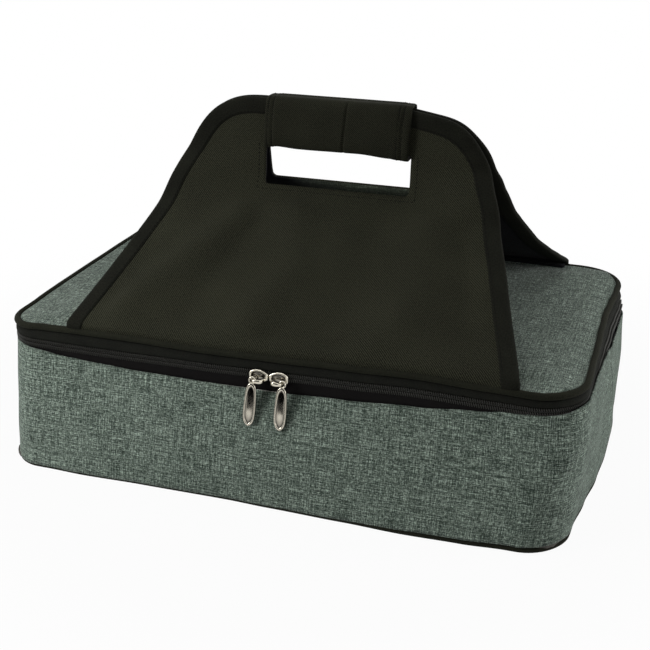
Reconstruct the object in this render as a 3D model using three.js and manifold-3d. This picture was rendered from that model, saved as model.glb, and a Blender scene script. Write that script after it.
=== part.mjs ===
// Soft insulated carrier for a covered baking dish: a padded box with a zipped lid and two tall
// handle panels that meet in a padded grip. Millimetres, Z up. X runs along the front, -Y faces the
// front, and the origin is the centre of the underside.

import * as THREE from 'three';
import { mergeVertices } from 'three/addons/utils/BufferGeometryUtils.js';
import Module from 'manifold-3d';

// Plan of the lid and of the base
const lidWidth = 410;
const lidDepth = 244;
const baseWidth = 408;
const baseDepth = 281;
const cornerRadius = 31;
const baseCornerRadius = 22; // tighter on the underside
const sideBow = 5; // the base's short sides bow out this far between their corners
const wallBulge = 3; // the soft wall swells this far at mid-height
const wallHeight = 79.5; // underside to the top edge of the canvas wall
const wallInset = 2; // the wall's top edge lies this far inside the lid's outline

// Layers of cloth, foam and board
const fitGap = 0.3; // clearance between neighbouring pieces
const canvasThickness = 1.2;
const wallFoamThickness = 6;
const floorFoamThickness = 5;
const lidFoamThickness = 8;
const linerThickness = 0.8;
const boardThickness = 3;
const bottomPanelThickness = 1.5;
const lidCrown = 3.5; // the lid's middle rises this far above its edge
const lidFillInset = 6; // lid foam and liner stay this far inside the lid's outline

// Corded edges
const bottomPipingDiameter = 4.6;
const bottomPipingLift = 0.2; // clear of the surface that the carrier stands on
const lidPipingDiameter = 4.6;
const lidPipingStand = 0.8; // the lid's cording stands this far above the canvas beside it

// Zip: two tapes, each with a coil along its edge, and the cloth hinge behind
const tapeThickness = 0.9;
const tapeInset = 2;
const lowerTapeShow = 7.4; // tape in view below the chain
const upperTapeShow = 6.5; // tape in view above the chain
const coilHeight = 2.4;
const coilThickness = 2;
const coilGap = 1.4; // between the two coils, where the slider's post runs
const hingeThickness = 1.2;
const hingeLength = 330;

// Zip sliders, each on its own half of the front
const sliderGap = 0.6; // between the two noses when the zip is shut
const sliderLength = 13.6;
const sliderHeight = 9.4;
const sliderNoseHeight = 4.8;
const sliderTailHeight = 6.4;
const noseShare = 0.05; // shares of the slider's length where its outline turns
const swellShare = 0.14;
const shoulderShare = 0.36;
const tailShare = 0.86;
const sliderRunClearance = 0.3;
const facePlateThickness = 1.3;
const backPlateThickness = 1.1;
const plateBevel = 0.3;
const postThickness = 0.8;
const postLength = 3.2;
const postStart = 1.4; // nose to the post
const lipHeight = 1.2;
const lipLength = 6;
const lipStart = 4; // nose to the lip
const bailThickness = 1.1;
const bailWidth = 1.6;
const bailDrop = 2.1; // below the middle of the slider
const bailStart = 2.2; // nose to the bail's near leg
const bailEnd = 11.2; // nose to the outside of the bail's far leg
const bailLeg = 1.6;

// Pulls, hung on the far leg of each bail
const pullLength = 36; // overall
const pullWidth = 8.8;
const pullThickness = 1.9;
const pullBevel = 0.35;
const pullEyeRadius = 1.95;
const pullEyeEdge = 2; // metal left round the eye
const pullHang = 0.6; // the eye's centre hangs this far below the bail's
const pullRunClearance = 0.3; // round the eye, to the face plate and to the bail
const pullWallClearance = 0.9; // the leaning pull to the swelling wall behind it
const pullRim = 1.5; // raised rim round the sunk middle
const pullSink = 0.6;
const pullSinkStart = 5.5; // eye centre to the top of the sunk middle
const pullNeckShare = 0.8; // shares of the half width where the leaf's outline turns
const pullBellyShare = 1.04;
const pullCheekShare = 0.9;
const pullTipShare = 0.25;

// Handle panels, each sewn along a long edge of the lid
const handleShift = 7; // the raised handles stand this far right of the lid's middle
const handleBaseWidth = 316;
const handleKinkWidth = 256;
const handleTopWidth = 120; // straight part of the top edge
const shoulderWidth = 206; // width that the rounded shoulders aim for
const sideReach = 39; // control lengths of the shoulder curve, along Z and X
const sideLean = 16;
const handleRise = 140; // sewn edge to the top edge
const kinkRise = 61; // sewn edge to the panel's fold
const kinkOut = 29; // middle plane to the fold
const foldRound = 14; // length of the fold's curve, each way
const riseOut = 11; // middle plane to the turn below the hand slot
const riseDrop = 1; // hand slot down to that turn
const riseRound = 8;
const bendRound = 5; // the same where the panel turns upright below the bar
const barHeight = 32; // cloth left above the hand slot
const slotHeight = 27;
const slotRadius = 6;
const slotEndClearance = 0.8; // grip's end to the end of the slot
const pivotInset = 3.4; // sewn fold, in from the lid's outline
const hemThickness = 1.5;
const hemWidth = 6.6;
const hemSetback = 1; // the hem's outer edge lies this far inside the sewn fold
const panelThickness = 1.4;
const liningThickness = 1;
const bindingThickness = 0.8;
const bindingWidth = 11;

// Padded grip: one half on each handle, closed by hook and loop strips
const gripLength = 106;
const gripShift = 1.5; // grip and hand slot sit this far right of the handles' middle
const gripThickness = 22;
const gripRound = 8;
const gripWall = 1.6; // padding over the top edge
const gripLip = 3.2; // padding under the bar
const stripThickness = 1.2;
const stripEndInset = 5;
const stripEdgeInset = 3;

// Smoothness
const cornerSteps = 5;
const sideSteps = 5;
const cordSides = 8;
const wallLevels = 4;
const crownRings = 4;
const curveSteps = 8;
const cutOverrun = 20; // cutting shapes run this far past what they cut

// Evenly spaced values, both ends included
function levels(from, to, count) {
  return Array.from({ length: count + 1 }, (_, step) => THREE.MathUtils.lerp(from, to, step / count));
}

// Heights, from the underside up
const boardBottom = bottomPanelThickness + fitGap;
const boardTop = boardBottom + boardThickness;
const bottomPipingTop = bottomPipingLift + bottomPipingDiameter;
const wallBottom = Math.max(boardTop, bottomPipingTop) + fitGap;
const linerBottom = wallBottom + floorFoamThickness + fitGap;
const lowerTapeBottom = wallHeight + fitGap;
const lowerCoilBottom = lowerTapeBottom + lowerTapeShow;
const lowerCoilTop = lowerCoilBottom + coilHeight;
const partingHeight = lowerCoilTop + coilGap / 2;
const upperCoilBottom = partingHeight + coilGap / 2;
const upperCoilTop = upperCoilBottom + coilHeight;
const upperTapeTop = upperCoilTop + upperTapeShow;
const lidPipingBottom = upperTapeTop + fitGap;
const lidPanelTop = lidPipingBottom + lidPipingDiameter - lidPipingStand;
const lidPanelBottom = lidPanelTop - canvasThickness;
const lidFoamTop = lidPanelBottom - fitGap;
const lidFoamBottom = lidFoamTop - lidFoamThickness;
const lidLinerTop = lidFoamBottom - fitGap;

// Insets from the lid's outline, and the matching distances along Y at the front
const coilInner = tapeInset - fitGap;
const coilOuter = coilInner - coilThickness;
const facePlateBack = -(lidDepth / 2 - coilOuter + sliderRunClearance);
const facePlateFront = facePlateBack - facePlateThickness;
const backPlateFront = -(lidDepth / 2 - tapeInset - tapeThickness - sliderRunClearance);
const backPlateBack = backPlateFront + backPlateThickness;

// The pull leans out just enough to clear the wall below its eye, and the bail leaves room for it
const wallFront = (z) => {
  const up = z / wallHeight;
  const straight = THREE.MathUtils.lerp(baseDepth / 2, lidDepth / 2 - wallInset, up);
  return straight + wallBulge * Math.sin(Math.PI * up);
};
const pullEyeOuter = pullEyeRadius + pullEyeEdge;
const pullReach = pullLength - pullEyeOuter;
const bailMiddle = partingHeight - bailDrop;
const eyeHeight = bailMiddle - pullHang;
const pullTilt = Math.max(...levels(eyeHeight - pullReach, wallHeight, wallLevels).map((z) => {
  const outwards = wallFront(z) + pullWallClearance - pullRunClearance + facePlateFront;
  return Math.atan2(outwards, eyeHeight - z);
}));
const pullSway = pullEyeOuter * Math.sin(Math.max(pullTilt, 0));
const pullStandOff = pullRunClearance + pullSway;
const bailHeight = pullStandOff + pullThickness + pullSway + pullRunClearance + bailThickness;

// Handle section: the sheet's middle line and its layers
const midGap = fitGap / 2;
const barOffset = midGap + stripThickness + fitGap + liningThickness + fitGap / 2;
const innerReach = fitGap / 2 + liningThickness;
const outerReach = fitGap / 2 + panelThickness;
const bindingReach = fitGap + bindingThickness;
const pivotOut = lidDepth / 2 - pivotInset;
const hemTop = lidPanelTop + fitGap + hemThickness;
const lowerSlope = Math.atan2(kinkRise, pivotOut - kinkOut);
const pivotHeight = hemTop + fitGap + (innerReach + bindingReach) * Math.cos(lowerSlope);
const kinkHeight = pivotHeight + kinkRise;
const handleTop = pivotHeight + handleRise;
const barBottom = handleTop - barHeight;
const slotBottom = barBottom - slotHeight;
const slotLength = gripLength + 2 * slotEndClearance;
const gripMiddle = handleShift + gripShift;

const wasm = await Module();
wasm.setup();

// Colours and finishes
function finish(colour, roughness, metalness = 0) {
  return new THREE.MeshStandardMaterial({ color: colour, roughness, metalness });
}
const canvasCloth = finish(0x6d7870, 0.95);
const twillCloth = finish(0x22221b, 0.9);
const blackCloth = finish(0x1b1c1c, 0.85);
const tapeCloth = finish(0x1e1f1f, 0.8);
const nylonCoil = finish(0x161618, 0.45);
const foam = finish(0xd9d8d0, 0.95);
const liner = finish(0xb4b8b8, 0.4);
const board = finish(0x55524c, 0.8);
const hookTape = finish(0x121213, 0.95);
const plated = finish(0xc9c4ba, 0.2, 1);

// Directions for a flat shape: shape X, shape Y and the way it is extruded
const frontView = new THREE.Matrix4().makeBasis(
  new THREE.Vector3(1, 0, 0), new THREE.Vector3(0, 0, 1), new THREE.Vector3(0, -1, 0));
const sideView = new THREE.Matrix4().makeBasis(
  new THREE.Vector3(0, 1, 0), new THREE.Vector3(0, 0, 1), new THREE.Vector3(1, 0, 0));
const planFromBelow = new THREE.Matrix4().makeBasis(
  new THREE.Vector3(1, 0, 0), new THREE.Vector3(0, -1, 0), new THREE.Vector3(0, 0, -1));

function extrude(shape, depth, view, bevel = 0) {
  const options = { depth: depth - 2 * bevel, steps: 1, curveSegments: curveSteps };
  options.bevelEnabled = bevel > 0;
  options.bevelThickness = bevel;
  options.bevelSize = bevel;
  options.bevelOffset = -bevel;
  options.bevelSegments = 1;
  const geometry = new THREE.ExtrudeGeometry(shape, options);
  geometry.translate(0, 0, bevel);
  return view ? geometry.applyMatrix4(view) : geometry;
}

// Boolean work on closed meshes
function toSolid(geometry) {
  const bare = geometry.clone();
  bare.deleteAttribute('normal');
  bare.deleteAttribute('uv');
  const merged = mergeVertices(bare, 1e-4);
  const vertProperties = new Float32Array(merged.attributes.position.array);
  const triVerts = new Uint32Array(merged.index.array);
  return new wasm.Manifold(new wasm.Mesh({ numProp: 3, vertProperties, triVerts }));
}

function toGeometry(solid) {
  const mesh = solid.getMesh();
  const geometry = new THREE.BufferGeometry();
  geometry.setAttribute('position', new THREE.BufferAttribute(new Float32Array(mesh.vertProperties), 3));
  geometry.setIndex(new THREE.BufferAttribute(new Uint32Array(mesh.triVerts), 1));
  geometry.computeVertexNormals();
  return geometry;
}

// Rounded rectangle, counter-clockwise from the right, with short sides that bow outwards
const cornerSigns = [[1, 1], [-1, 1], [-1, -1], [1, -1]];
const pointsPerCorner = cornerSteps + sideSteps;

function planOutline(width, depth, radius, bow) {
  const points = [];
  const cornerCentre = (corner) => new THREE.Vector2(
    cornerSigns[corner % 4][0] * (width / 2 - radius),
    cornerSigns[corner % 4][1] * (depth / 2 - radius));
  const heading = (angle) => new THREE.Vector2(Math.cos(angle), Math.sin(angle));
  for (let corner = 0; corner < 4; corner += 1) {
    const start = corner * Math.PI / 2;
    for (let step = 0; step <= cornerSteps; step += 1) {
      const angle = start + (step / cornerSteps) * Math.PI / 2;
      points.push(cornerCentre(corner).addScaledVector(heading(angle), radius));
    }
    const out = heading(start + Math.PI / 2);
    const from = points.at(-1);
    const to = cornerCentre(corner + 1).addScaledVector(out, radius);
    for (let step = 1; step < sideSteps; step += 1) {
      const along = step / sideSteps;
      const bowHere = corner % 2 ? bow * (1 - (2 * along - 1) ** 2) : 0;
      points.push(from.clone().lerp(to, along).addScaledVector(out, bowHere));
    }
  }
  return points;
}

function lidPlan(inset) {
  return planOutline(lidWidth - 2 * inset, lidDepth - 2 * inset, cornerRadius - inset, 0);
}

// The base's outline at a height: it narrows from the underside to the zip and swells between
function wallPlan(z, inset) {
  const up = z / wallHeight;
  const swell = wallBulge * Math.sin(Math.PI * up) - inset;
  const width = THREE.MathUtils.lerp(baseWidth, lidWidth - 2 * wallInset, up) + 2 * swell;
  const depth = THREE.MathUtils.lerp(baseDepth, lidDepth - 2 * wallInset, up) + 2 * swell;
  const radius = THREE.MathUtils.lerp(baseCornerRadius, cornerRadius, up) - inset;
  return planOutline(width, depth, radius, sideBow * (1 - up));
}

function ringAt(plan, z) {
  return plan.map((point) => new THREE.Vector3(point.x, point.y, z));
}

// Skin over a stack of rings: outer rings run upwards, inner ones downwards, and both are split along
// the same diagonals so that nested walls stay apart. The stack closes on itself, as on a frame, or
// has a flat fan at each end, as on a slab.
function skinRings(rings, closesOnItself) {
  const count = rings[0].length;
  const positions = rings.flat().flatMap((point) => point.toArray());
  const index = [];
  const spans = closesOnItself ? rings.length : rings.length - 1;
  for (let ring = 0; ring < spans; ring += 1) {
    const nextRing = (ring + 1) % rings.length;
    const from = ring * count;
    const to = nextRing * count;
    const falls = rings[nextRing][0].z < rings[ring][0].z;
    for (let side = 0; side < count; side += 1) {
      const next = (side + 1) % count;
      if (falls) {
        index.push(from + side, from + next, to + side, from + next, to + next, to + side);
      } else {
        index.push(from + side, from + next, to + next, from + side, to + next, to + side);
      }
    }
  }
  if (!closesOnItself) {
    for (const [ring, turn] of [[0, 1], [rings.length - 1, 0]]) {
      const centre = new THREE.Vector3();
      rings[ring].forEach((point) => centre.addScaledVector(point, 1 / count));
      const hub = positions.length / 3;
      positions.push(...centre.toArray());
      for (let side = 0; side < count; side += 1) {
        const ends = [ring * count + side, ring * count + (side + 1) % count];
        index.push(hub, ends[turn], ends[1 - turn]);
      }
    }
  }
  const geometry = new THREE.BufferGeometry();
  geometry.setAttribute('position', new THREE.Float32BufferAttribute(positions, 3));
  geometry.setIndex(index);
  geometry.computeVertexNormals();
  return geometry;
}

// Wall of the base between two insets
function wallRing(outerInset, innerInset, bottom, top) {
  const heights = levels(bottom, top, wallLevels);
  const outer = heights.map((z) => ringAt(wallPlan(z, outerInset), z));
  const inner = heights.map((z) => ringAt(wallPlan(z, innerInset), z)).reverse();
  return skinRings([...outer, ...inner], true);
}

function slab(planAt, bottom, top) {
  return skinRings([ringAt(planAt(bottom), bottom), ringAt(planAt(top), top)], false);
}

// Flat band that follows the lid's outline all the way round
function lidBand(outerInset, innerInset, bottom, top) {
  const outer = lidPlan(outerInset);
  const inner = lidPlan(innerInset);
  const outerRings = [ringAt(outer, bottom), ringAt(outer, top)];
  const innerRings = [ringAt(inner, top), ringAt(inner, bottom)];
  return skinRings([...outerRings, ...innerRings], true);
}

// Cording of round section that follows an outline
function cording(planAt, diameter, bottom) {
  const radius = diameter / 2;
  const rings = Array.from({ length: cordSides }, (_, side) => {
    const angle = (side / cordSides) * 2 * Math.PI;
    return ringAt(planAt(radius - radius * Math.cos(angle)), bottom + radius + radius * Math.sin(angle));
  });
  return skinRings(rings, true);
}

// Panel with a low crown: its rings shrink towards the middle and rise
function crownedPanel(inset, bottom, top, bottomCrown, topCrown) {
  const plan = lidPlan(inset);
  const ring = (share, edge, crown) => {
    const rise = crown * (1 - share ** 2) ** 2;
    return ringAt(plan.map((point) => point.clone().multiplyScalar(share)), edge + rise);
  };
  const shares = levels(1 / crownRings, 1, crownRings - 1);
  const under = shares.map((share) => ring(share, bottom, bottomCrown));
  const over = shares.map((share) => ring(share, top, topCrown)).reverse();
  return skinRings([...under, ...over], false);
}

// Coil along the sides and the front, from one rear corner round to the other
function coilStrip(bottom) {
  const openRun = (plan) => [...plan.slice(pointsPerCorner + cornerSteps), plan[0]];
  const outer = openRun(lidPlan(coilOuter));
  const inner = openRun(lidPlan(coilInner));
  return extrude(new THREE.Shape([...outer, ...inner.reverse()]), coilHeight).translate(0, 0, bottom);
}

function block(size, centre) {
  return new THREE.BoxGeometry(...size).translate(...centre);
}

// Half of the cloth hinge behind the lid: it meets the other half on the parting line
function hingeHalf(bottom, top) {
  const outerFace = lidDepth / 2 - tapeInset + fitGap + hingeThickness;
  const centre = [0, outerFace - hingeThickness / 2, (bottom + top) / 2];
  return block([hingeLength, hingeThickness, top - bottom], centre);
}

// Hem of a handle panel, sewn down on the lid's edge; side is -1 at the front and 1 at the rear
function handleHem(side) {
  const outerEdge = pivotOut - hemSetback;
  const centre = [handleShift, side * (outerEdge - hemWidth / 2), hemTop - hemThickness / 2];
  return block([handleBaseWidth, hemWidth, hemThickness], centre);
}

// Middle line of a handle panel in the side view: up the slope, over the fold, past the hand slot, and
// upright at the bar
function handleLine(side) {
  const start = new THREE.Vector2(side * pivotOut, pivotHeight);
  const fold = new THREE.Vector2(side * kinkOut, kinkHeight);
  const turn = new THREE.Vector2(side * riseOut, slotBottom - riseDrop);
  const bend = new THREE.Vector2(side * barOffset, barBottom - bendRound);
  const end = new THREE.Vector2(side * barOffset, handleTop + bindingReach);
  const towards = (from, to, far) => from.clone().addScaledVector(to.clone().sub(from).normalize(), far);
  const path = new THREE.Path();
  const corners = [
    [start, fold, turn, foldRound],
    [fold, turn, bend, riseRound],
    [turn, bend, end, bendRound],
  ];
  path.moveTo(start.x, start.y);
  for (const [before, corner, after, far] of corners) {
    const enter = towards(corner, before, far);
    const leave = towards(corner, after, far);
    path.lineTo(enter.x, enter.y);
    path.quadraticCurveTo(corner.x, corner.y, leave.x, leave.y);
  }
  path.lineTo(end.x, end.y);
  return path.getPoints(curveSteps / 2);
}

// Sheet along that line, from an inner to an outer distance off it, wider than any handle
function handleSheet(side, inner, outer) {
  const line = handleLine(side);
  const offset = (distance) => line.map((point, at) => {
    const before = line[Math.max(at - 1, 0)];
    const after = line[Math.min(at + 1, line.length - 1)];
    const along = after.clone().sub(before).normalize();
    const outwards = new THREE.Vector2(-along.y, along.x).multiplyScalar(-side);
    return point.clone().addScaledVector(outwards, distance);
  });
  const shape = new THREE.Shape([...offset(outer), ...offset(-inner).reverse()]);
  const width = handleBaseWidth + 2 * cutOverrun;
  return toSolid(extrude(shape, width, sideView).translate(handleShift - width / 2, 0, 0));
}

// Front view of a handle panel, drawn in by an inset; the lower edge runs past the sheet's end
function handleProfile(inset) {
  const low = pivotHeight - cutOverrun;
  const baseHalf = handleBaseWidth / 2 - inset;
  const kinkHalf = handleKinkWidth / 2 - inset;
  const shoulderHalf = shoulderWidth / 2 - inset;
  const topHalf = handleTopWidth / 2;
  const top = handleTop - inset;
  const nearEnd = [kinkHalf - sideLean, kinkHeight + sideReach];
  const shape = new THREE.Shape();
  shape.moveTo(-baseHalf, low);
  shape.lineTo(baseHalf, low);
  shape.lineTo(baseHalf, pivotHeight);
  shape.lineTo(kinkHalf, kinkHeight);
  shape.bezierCurveTo(nearEnd[0], nearEnd[1], shoulderHalf, top, topHalf, top);
  shape.lineTo(-topHalf, top);
  shape.bezierCurveTo(-shoulderHalf, top, -nearEnd[0], nearEnd[1], -kinkHalf, kinkHeight);
  shape.lineTo(-baseHalf, pivotHeight);
  return shape;
}

// Prism of a front view that reaches through both handles
function throughHandles(shape, middle = handleShift) {
  const depth = lidDepth + 2 * cutOverrun;
  return toSolid(extrude(shape, depth, frontView).translate(middle, depth / 2, 0));
}

function slotProfile() {
  const half = slotLength / 2;
  const shape = new THREE.Shape();
  shape.moveTo(-half, barBottom);
  shape.lineTo(-half, slotBottom + slotRadius);
  shape.quadraticCurveTo(-half, slotBottom, -half + slotRadius, slotBottom);
  shape.lineTo(half - slotRadius, slotBottom);
  shape.quadraticCurveTo(half, slotBottom, half, slotBottom + slotRadius);
  shape.lineTo(half, barBottom);
  return shape;
}

const handleCut = throughHandles(handleProfile(0));
const slotCut = throughHandles(slotProfile(), gripMiddle);
const bindingOuterCut = throughHandles(handleProfile(-bindingReach));
const bindingPocketCut = throughHandles(handleProfile(-fitGap));
const bindingInnerCut = throughHandles(handleProfile(bindingWidth));

function handlePanel(side) {
  const sheet = handleSheet(side, -fitGap / 2, outerReach);
  return toGeometry(sheet.intersect(handleCut).subtract(slotCut));
}

function handleLining(side) {
  const sheet = handleSheet(side, innerReach, -fitGap / 2);
  return toGeometry(sheet.intersect(handleCut).subtract(slotCut));
}

// Tape folded over the panel's sides and top
function handleBinding(side) {
  const folded = handleSheet(side, innerReach + bindingReach, outerReach + bindingReach);
  const pocket = handleSheet(side, innerReach + fitGap, outerReach + fitGap).intersect(bindingPocketCut);
  return toGeometry(folded.intersect(bindingOuterCut).subtract(bindingInnerCut).subtract(pocket));
}

// Half of the padded grip: a channel round the bar, open towards the other half
function gripPad(side) {
  const front = gripThickness / 2;
  const pocketFront = barOffset + outerReach + bindingReach + fitGap;
  const pocketTop = handleTop + bindingReach + fitGap;
  const pocketBottom = barBottom - fitGap;
  const top = pocketTop + gripWall;
  const bottom = pocketBottom - gripLip;
  const shape = new THREE.Shape();
  shape.moveTo(side * midGap, top);
  shape.lineTo(side * (front - gripRound), top);
  shape.quadraticCurveTo(side * front, top, side * front, top - gripRound);
  shape.lineTo(side * front, bottom + gripRound);
  shape.quadraticCurveTo(side * front, bottom, side * (front - gripRound), bottom);
  shape.lineTo(side * midGap, bottom);
  shape.lineTo(side * midGap, pocketBottom);
  shape.lineTo(side * pocketFront, pocketBottom);
  shape.lineTo(side * pocketFront, pocketTop);
  shape.lineTo(side * midGap, pocketTop);
  return extrude(shape, gripLength, sideView).translate(gripMiddle - gripLength / 2, 0, 0);
}

// Hook or loop strip on the inside of the bar
function closureStrip(side) {
  const bottom = barBottom + stripEdgeInset;
  const top = handleTop - bindingWidth - stripEdgeInset;
  const centre = [gripMiddle, side * (midGap + stripThickness / 2), (bottom + top) / 2];
  return block([gripLength - 2 * stripEndInset, stripThickness, top - bottom], centre);
}

// Shield of a slider seen from the front, from the nose out; way is -1 for the left slider
function sliderShield(way) {
  const half = sliderHeight / 2;
  const nose = sliderNoseHeight / 2;
  const tail = sliderTailHeight / 2;
  const at = (share) => way * sliderLength * share;
  const shape = new THREE.Shape();
  shape.moveTo(at(noseShare), -nose);
  shape.quadraticCurveTo(at(swellShare), -half, at(shoulderShare), -half);
  shape.lineTo(at(tailShare), -tail);
  shape.quadraticCurveTo(at(1), -tail, at(1), 0);
  shape.quadraticCurveTo(at(1), tail, at(tailShare), tail);
  shape.lineTo(at(shoulderShare), half);
  shape.quadraticCurveTo(at(swellShare), half, at(noseShare), nose);
  shape.quadraticCurveTo(at(-noseShare), 0, at(noseShare), -nose);
  return shape;
}

// Slider body: face plate, back plate, the post that joins them between the coils, and a lower lip
// that keeps the coil in. The upper side is open, where the lid's coil lifts out.
function sliderBody(way) {
  const shield = sliderShield(way);
  const facePlate = extrude(shield, facePlateThickness, frontView, plateBevel).translate(0, facePlateBack, 0);
  const backPlate = extrude(shield, backPlateThickness, frontView, plateBevel).translate(0, backPlateBack, 0);
  const facePlateMiddle = (facePlateBack + facePlateFront) / 2;
  const backPlateMiddle = (backPlateBack + backPlateFront) / 2;
  const postDepth = backPlateMiddle - facePlateMiddle;
  const postCentre = [way * (postStart + postLength / 2), (facePlateMiddle + backPlateMiddle) / 2, 0];
  const post = block([postLength, postDepth, postThickness], postCentre);
  const lipBack = -(lidDepth / 2 - tapeInset + sliderRunClearance);
  const lipTop = lowerCoilBottom - sliderRunClearance - partingHeight;
  const lipSize = [lipLength, lipBack - facePlateMiddle, lipHeight];
  const lipDepth = (lipBack + facePlateMiddle) / 2;
  const lip = block(lipSize, [way * (lipStart + lipLength / 2), lipDepth, lipTop - lipHeight / 2]);
  const solid = [backPlate, post, lip].reduce((sum, piece) => sum.add(toSolid(piece)), toSolid(facePlate));
  return toGeometry(solid).translate(way * sliderGap / 2, 0, partingHeight);
}

// Bail: a strap that bridges the face plate lengthways
function sliderBail(way) {
  const shape = new THREE.Shape();
  shape.moveTo(way * bailStart, 0);
  shape.lineTo(way * bailStart, bailHeight - bailThickness);
  shape.quadraticCurveTo(way * bailStart, bailHeight, way * (bailStart + bailLeg), bailHeight);
  shape.lineTo(way * (bailEnd - bailLeg), bailHeight);
  shape.quadraticCurveTo(way * bailEnd, bailHeight, way * bailEnd, bailHeight - bailThickness);
  shape.lineTo(way * bailEnd, 0);
  shape.lineTo(way * (bailEnd - bailLeg), 0);
  shape.lineTo(way * (bailEnd - bailLeg), bailHeight - bailThickness);
  shape.lineTo(way * (bailStart + bailLeg), bailHeight - bailThickness);
  shape.lineTo(way * (bailStart + bailLeg), 0);
  const strap = extrude(shape, bailWidth, planFromBelow);
  return strap.translate(way * sliderGap / 2, facePlateFront, bailMiddle + bailWidth / 2);
}

// Leaf of a pull, drawn in by an inset, from a top height down to its rounded point
function pullLeaf(top, shoulder, inset) {
  const half = pullWidth / 2 - inset;
  const tip = inset - pullReach;
  const shape = new THREE.Shape();
  const neck = half * pullNeckShare;
  const belly = half * pullBellyShare;
  const cheek = half * pullCheekShare;
  const point = half * pullTipShare;
  const low = tip + pullWidth;
  const lowest = tip + pullWidth / 3;
  shape.moveTo(0, top);
  shape.bezierCurveTo(shoulder, top, neck, top - pullWidth / 2, half, top - pullWidth);
  shape.bezierCurveTo(belly, low, cheek, lowest, point, tip);
  shape.lineTo(-point, tip);
  shape.bezierCurveTo(-cheek, lowest, -belly, low, -half, top - pullWidth);
  shape.bezierCurveTo(-neck, top - pullWidth / 2, -shoulder, top, 0, top);
  return shape;
}

// Pull: a leaf with an eye at its top and a sunk middle, leaning out over the wall
function zipPull(way) {
  const outline = pullLeaf(pullEyeOuter, pullEyeOuter, 0);
  const eye = new THREE.Path();
  eye.absarc(0, 0, pullEyeRadius, 0, 2 * Math.PI);
  outline.holes.push(eye);
  const plate = toSolid(extrude(outline, pullThickness, frontView, pullBevel));
  const sink = extrude(pullLeaf(-pullSinkStart, pullRim / 2, pullRim), 2 * pullSink, frontView);
  sink.translate(0, pullSink - pullThickness, 0);
  const pull = toGeometry(plate.subtract(toSolid(sink)));
  pull.rotateX(-pullTilt);
  const eyeX = way * (sliderGap / 2 + bailEnd - bailLeg / 2);
  return pull.translate(eyeX, facePlateFront - pullStandOff, eyeHeight);
}

// Assembly
const carrier = new THREE.Group();

function addPiece(group, name, geometry, material) {
  const mesh = new THREE.Mesh(geometry, material);
  mesh.name = name;
  group.add(mesh);
}

function addBase() {
  const group = new THREE.Group();
  const foamOuter = canvasThickness + fitGap;
  const foamInner = foamOuter + wallFoamThickness;
  const linerOuter = foamInner + fitGap;
  const linerInner = linerOuter + linerThickness;
  const panelInset = bottomPipingDiameter + fitGap;
  const linerFloor = linerBottom + linerThickness;
  const linerRings = [
    ...levels(linerBottom, wallHeight, wallLevels).map((z) => ringAt(wallPlan(z, linerOuter), z)),
    ...levels(wallHeight, linerFloor, wallLevels).map((z) => ringAt(wallPlan(z, linerInner), z)),
  ];
  const underPlan = (inset) => wallPlan(0, inset);
  addPiece(group, 'base_canvas_wall', wallRing(0, canvasThickness, wallBottom, wallHeight), canvasCloth);
  addPiece(group, 'base_bottom_panel',
    slab(() => underPlan(panelInset), 0, bottomPanelThickness), blackCloth);
  addPiece(group, 'bottom_piping', cording(underPlan, bottomPipingDiameter, bottomPipingLift), blackCloth);
  addPiece(group, 'bottom_board', slab(() => underPlan(panelInset), boardBottom, boardTop), board);
  addPiece(group, 'wall_foam', wallRing(foamOuter, foamInner, wallBottom, wallHeight), foam);
  addPiece(group, 'floor_foam', slab((z) => wallPlan(z, linerOuter), wallBottom, linerBottom - fitGap), foam);
  addPiece(group, 'inner_liner', skinRings(linerRings, false), liner);
  addPiece(group, 'lower_zip_tape',
    lidBand(tapeInset, tapeInset + tapeThickness, lowerTapeBottom, lowerCoilTop), tapeCloth);
  addPiece(group, 'lower_zip_coil', coilStrip(lowerCoilBottom), nylonCoil);
  addPiece(group, 'rear_hinge_lower', hingeHalf(lowerTapeBottom, partingHeight - midGap), blackCloth);
  carrier.add(group);
}

function addLid() {
  const group = new THREE.Group();
  const panelInset = lidPipingDiameter + fitGap;
  addPiece(group, 'lid_canvas_panel',
    crownedPanel(panelInset, lidPanelBottom, lidPanelTop, lidCrown, lidCrown), canvasCloth);
  addPiece(group, 'lid_foam', crownedPanel(lidFillInset, lidFoamBottom, lidFoamTop, 0, lidCrown), foam);
  addPiece(group, 'lid_liner',
    slab(() => lidPlan(lidFillInset), lidLinerTop - linerThickness, lidLinerTop), liner);
  addPiece(group, 'lid_piping', cording(lidPlan, lidPipingDiameter, lidPipingBottom), blackCloth);
  addPiece(group, 'upper_zip_tape',
    lidBand(tapeInset, tapeInset + tapeThickness, upperCoilBottom, upperTapeTop), tapeCloth);
  addPiece(group, 'upper_zip_coil', coilStrip(upperCoilBottom), nylonCoil);
  addPiece(group, 'rear_hinge_upper', hingeHalf(partingHeight + midGap, upperTapeTop), blackCloth);
  addPiece(group, 'front_handle_hem', handleHem(-1), twillCloth);
  addPiece(group, 'rear_handle_hem', handleHem(1), twillCloth);
  carrier.add(group);
}

function addHandle(name, side, stripName) {
  const group = new THREE.Group();
  addPiece(group, `${name}_handle_panel`, handlePanel(side), twillCloth);
  addPiece(group, `${name}_handle_lining`, handleLining(side), blackCloth);
  addPiece(group, `${name}_handle_binding`, handleBinding(side), blackCloth);
  addPiece(group, `${name}_grip_pad`, gripPad(side), twillCloth);
  addPiece(group, stripName, closureStrip(side), hookTape);
  carrier.add(group);
}

function addSlider(name, way) {
  const group = new THREE.Group();
  addPiece(group, `${name}_slider_body`, sliderBody(way), plated);
  addPiece(group, `${name}_slider_bail`, sliderBail(way), plated);
  addPiece(group, `${name}_zip_pull`, zipPull(way), plated);
  carrier.add(group);
}

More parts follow.
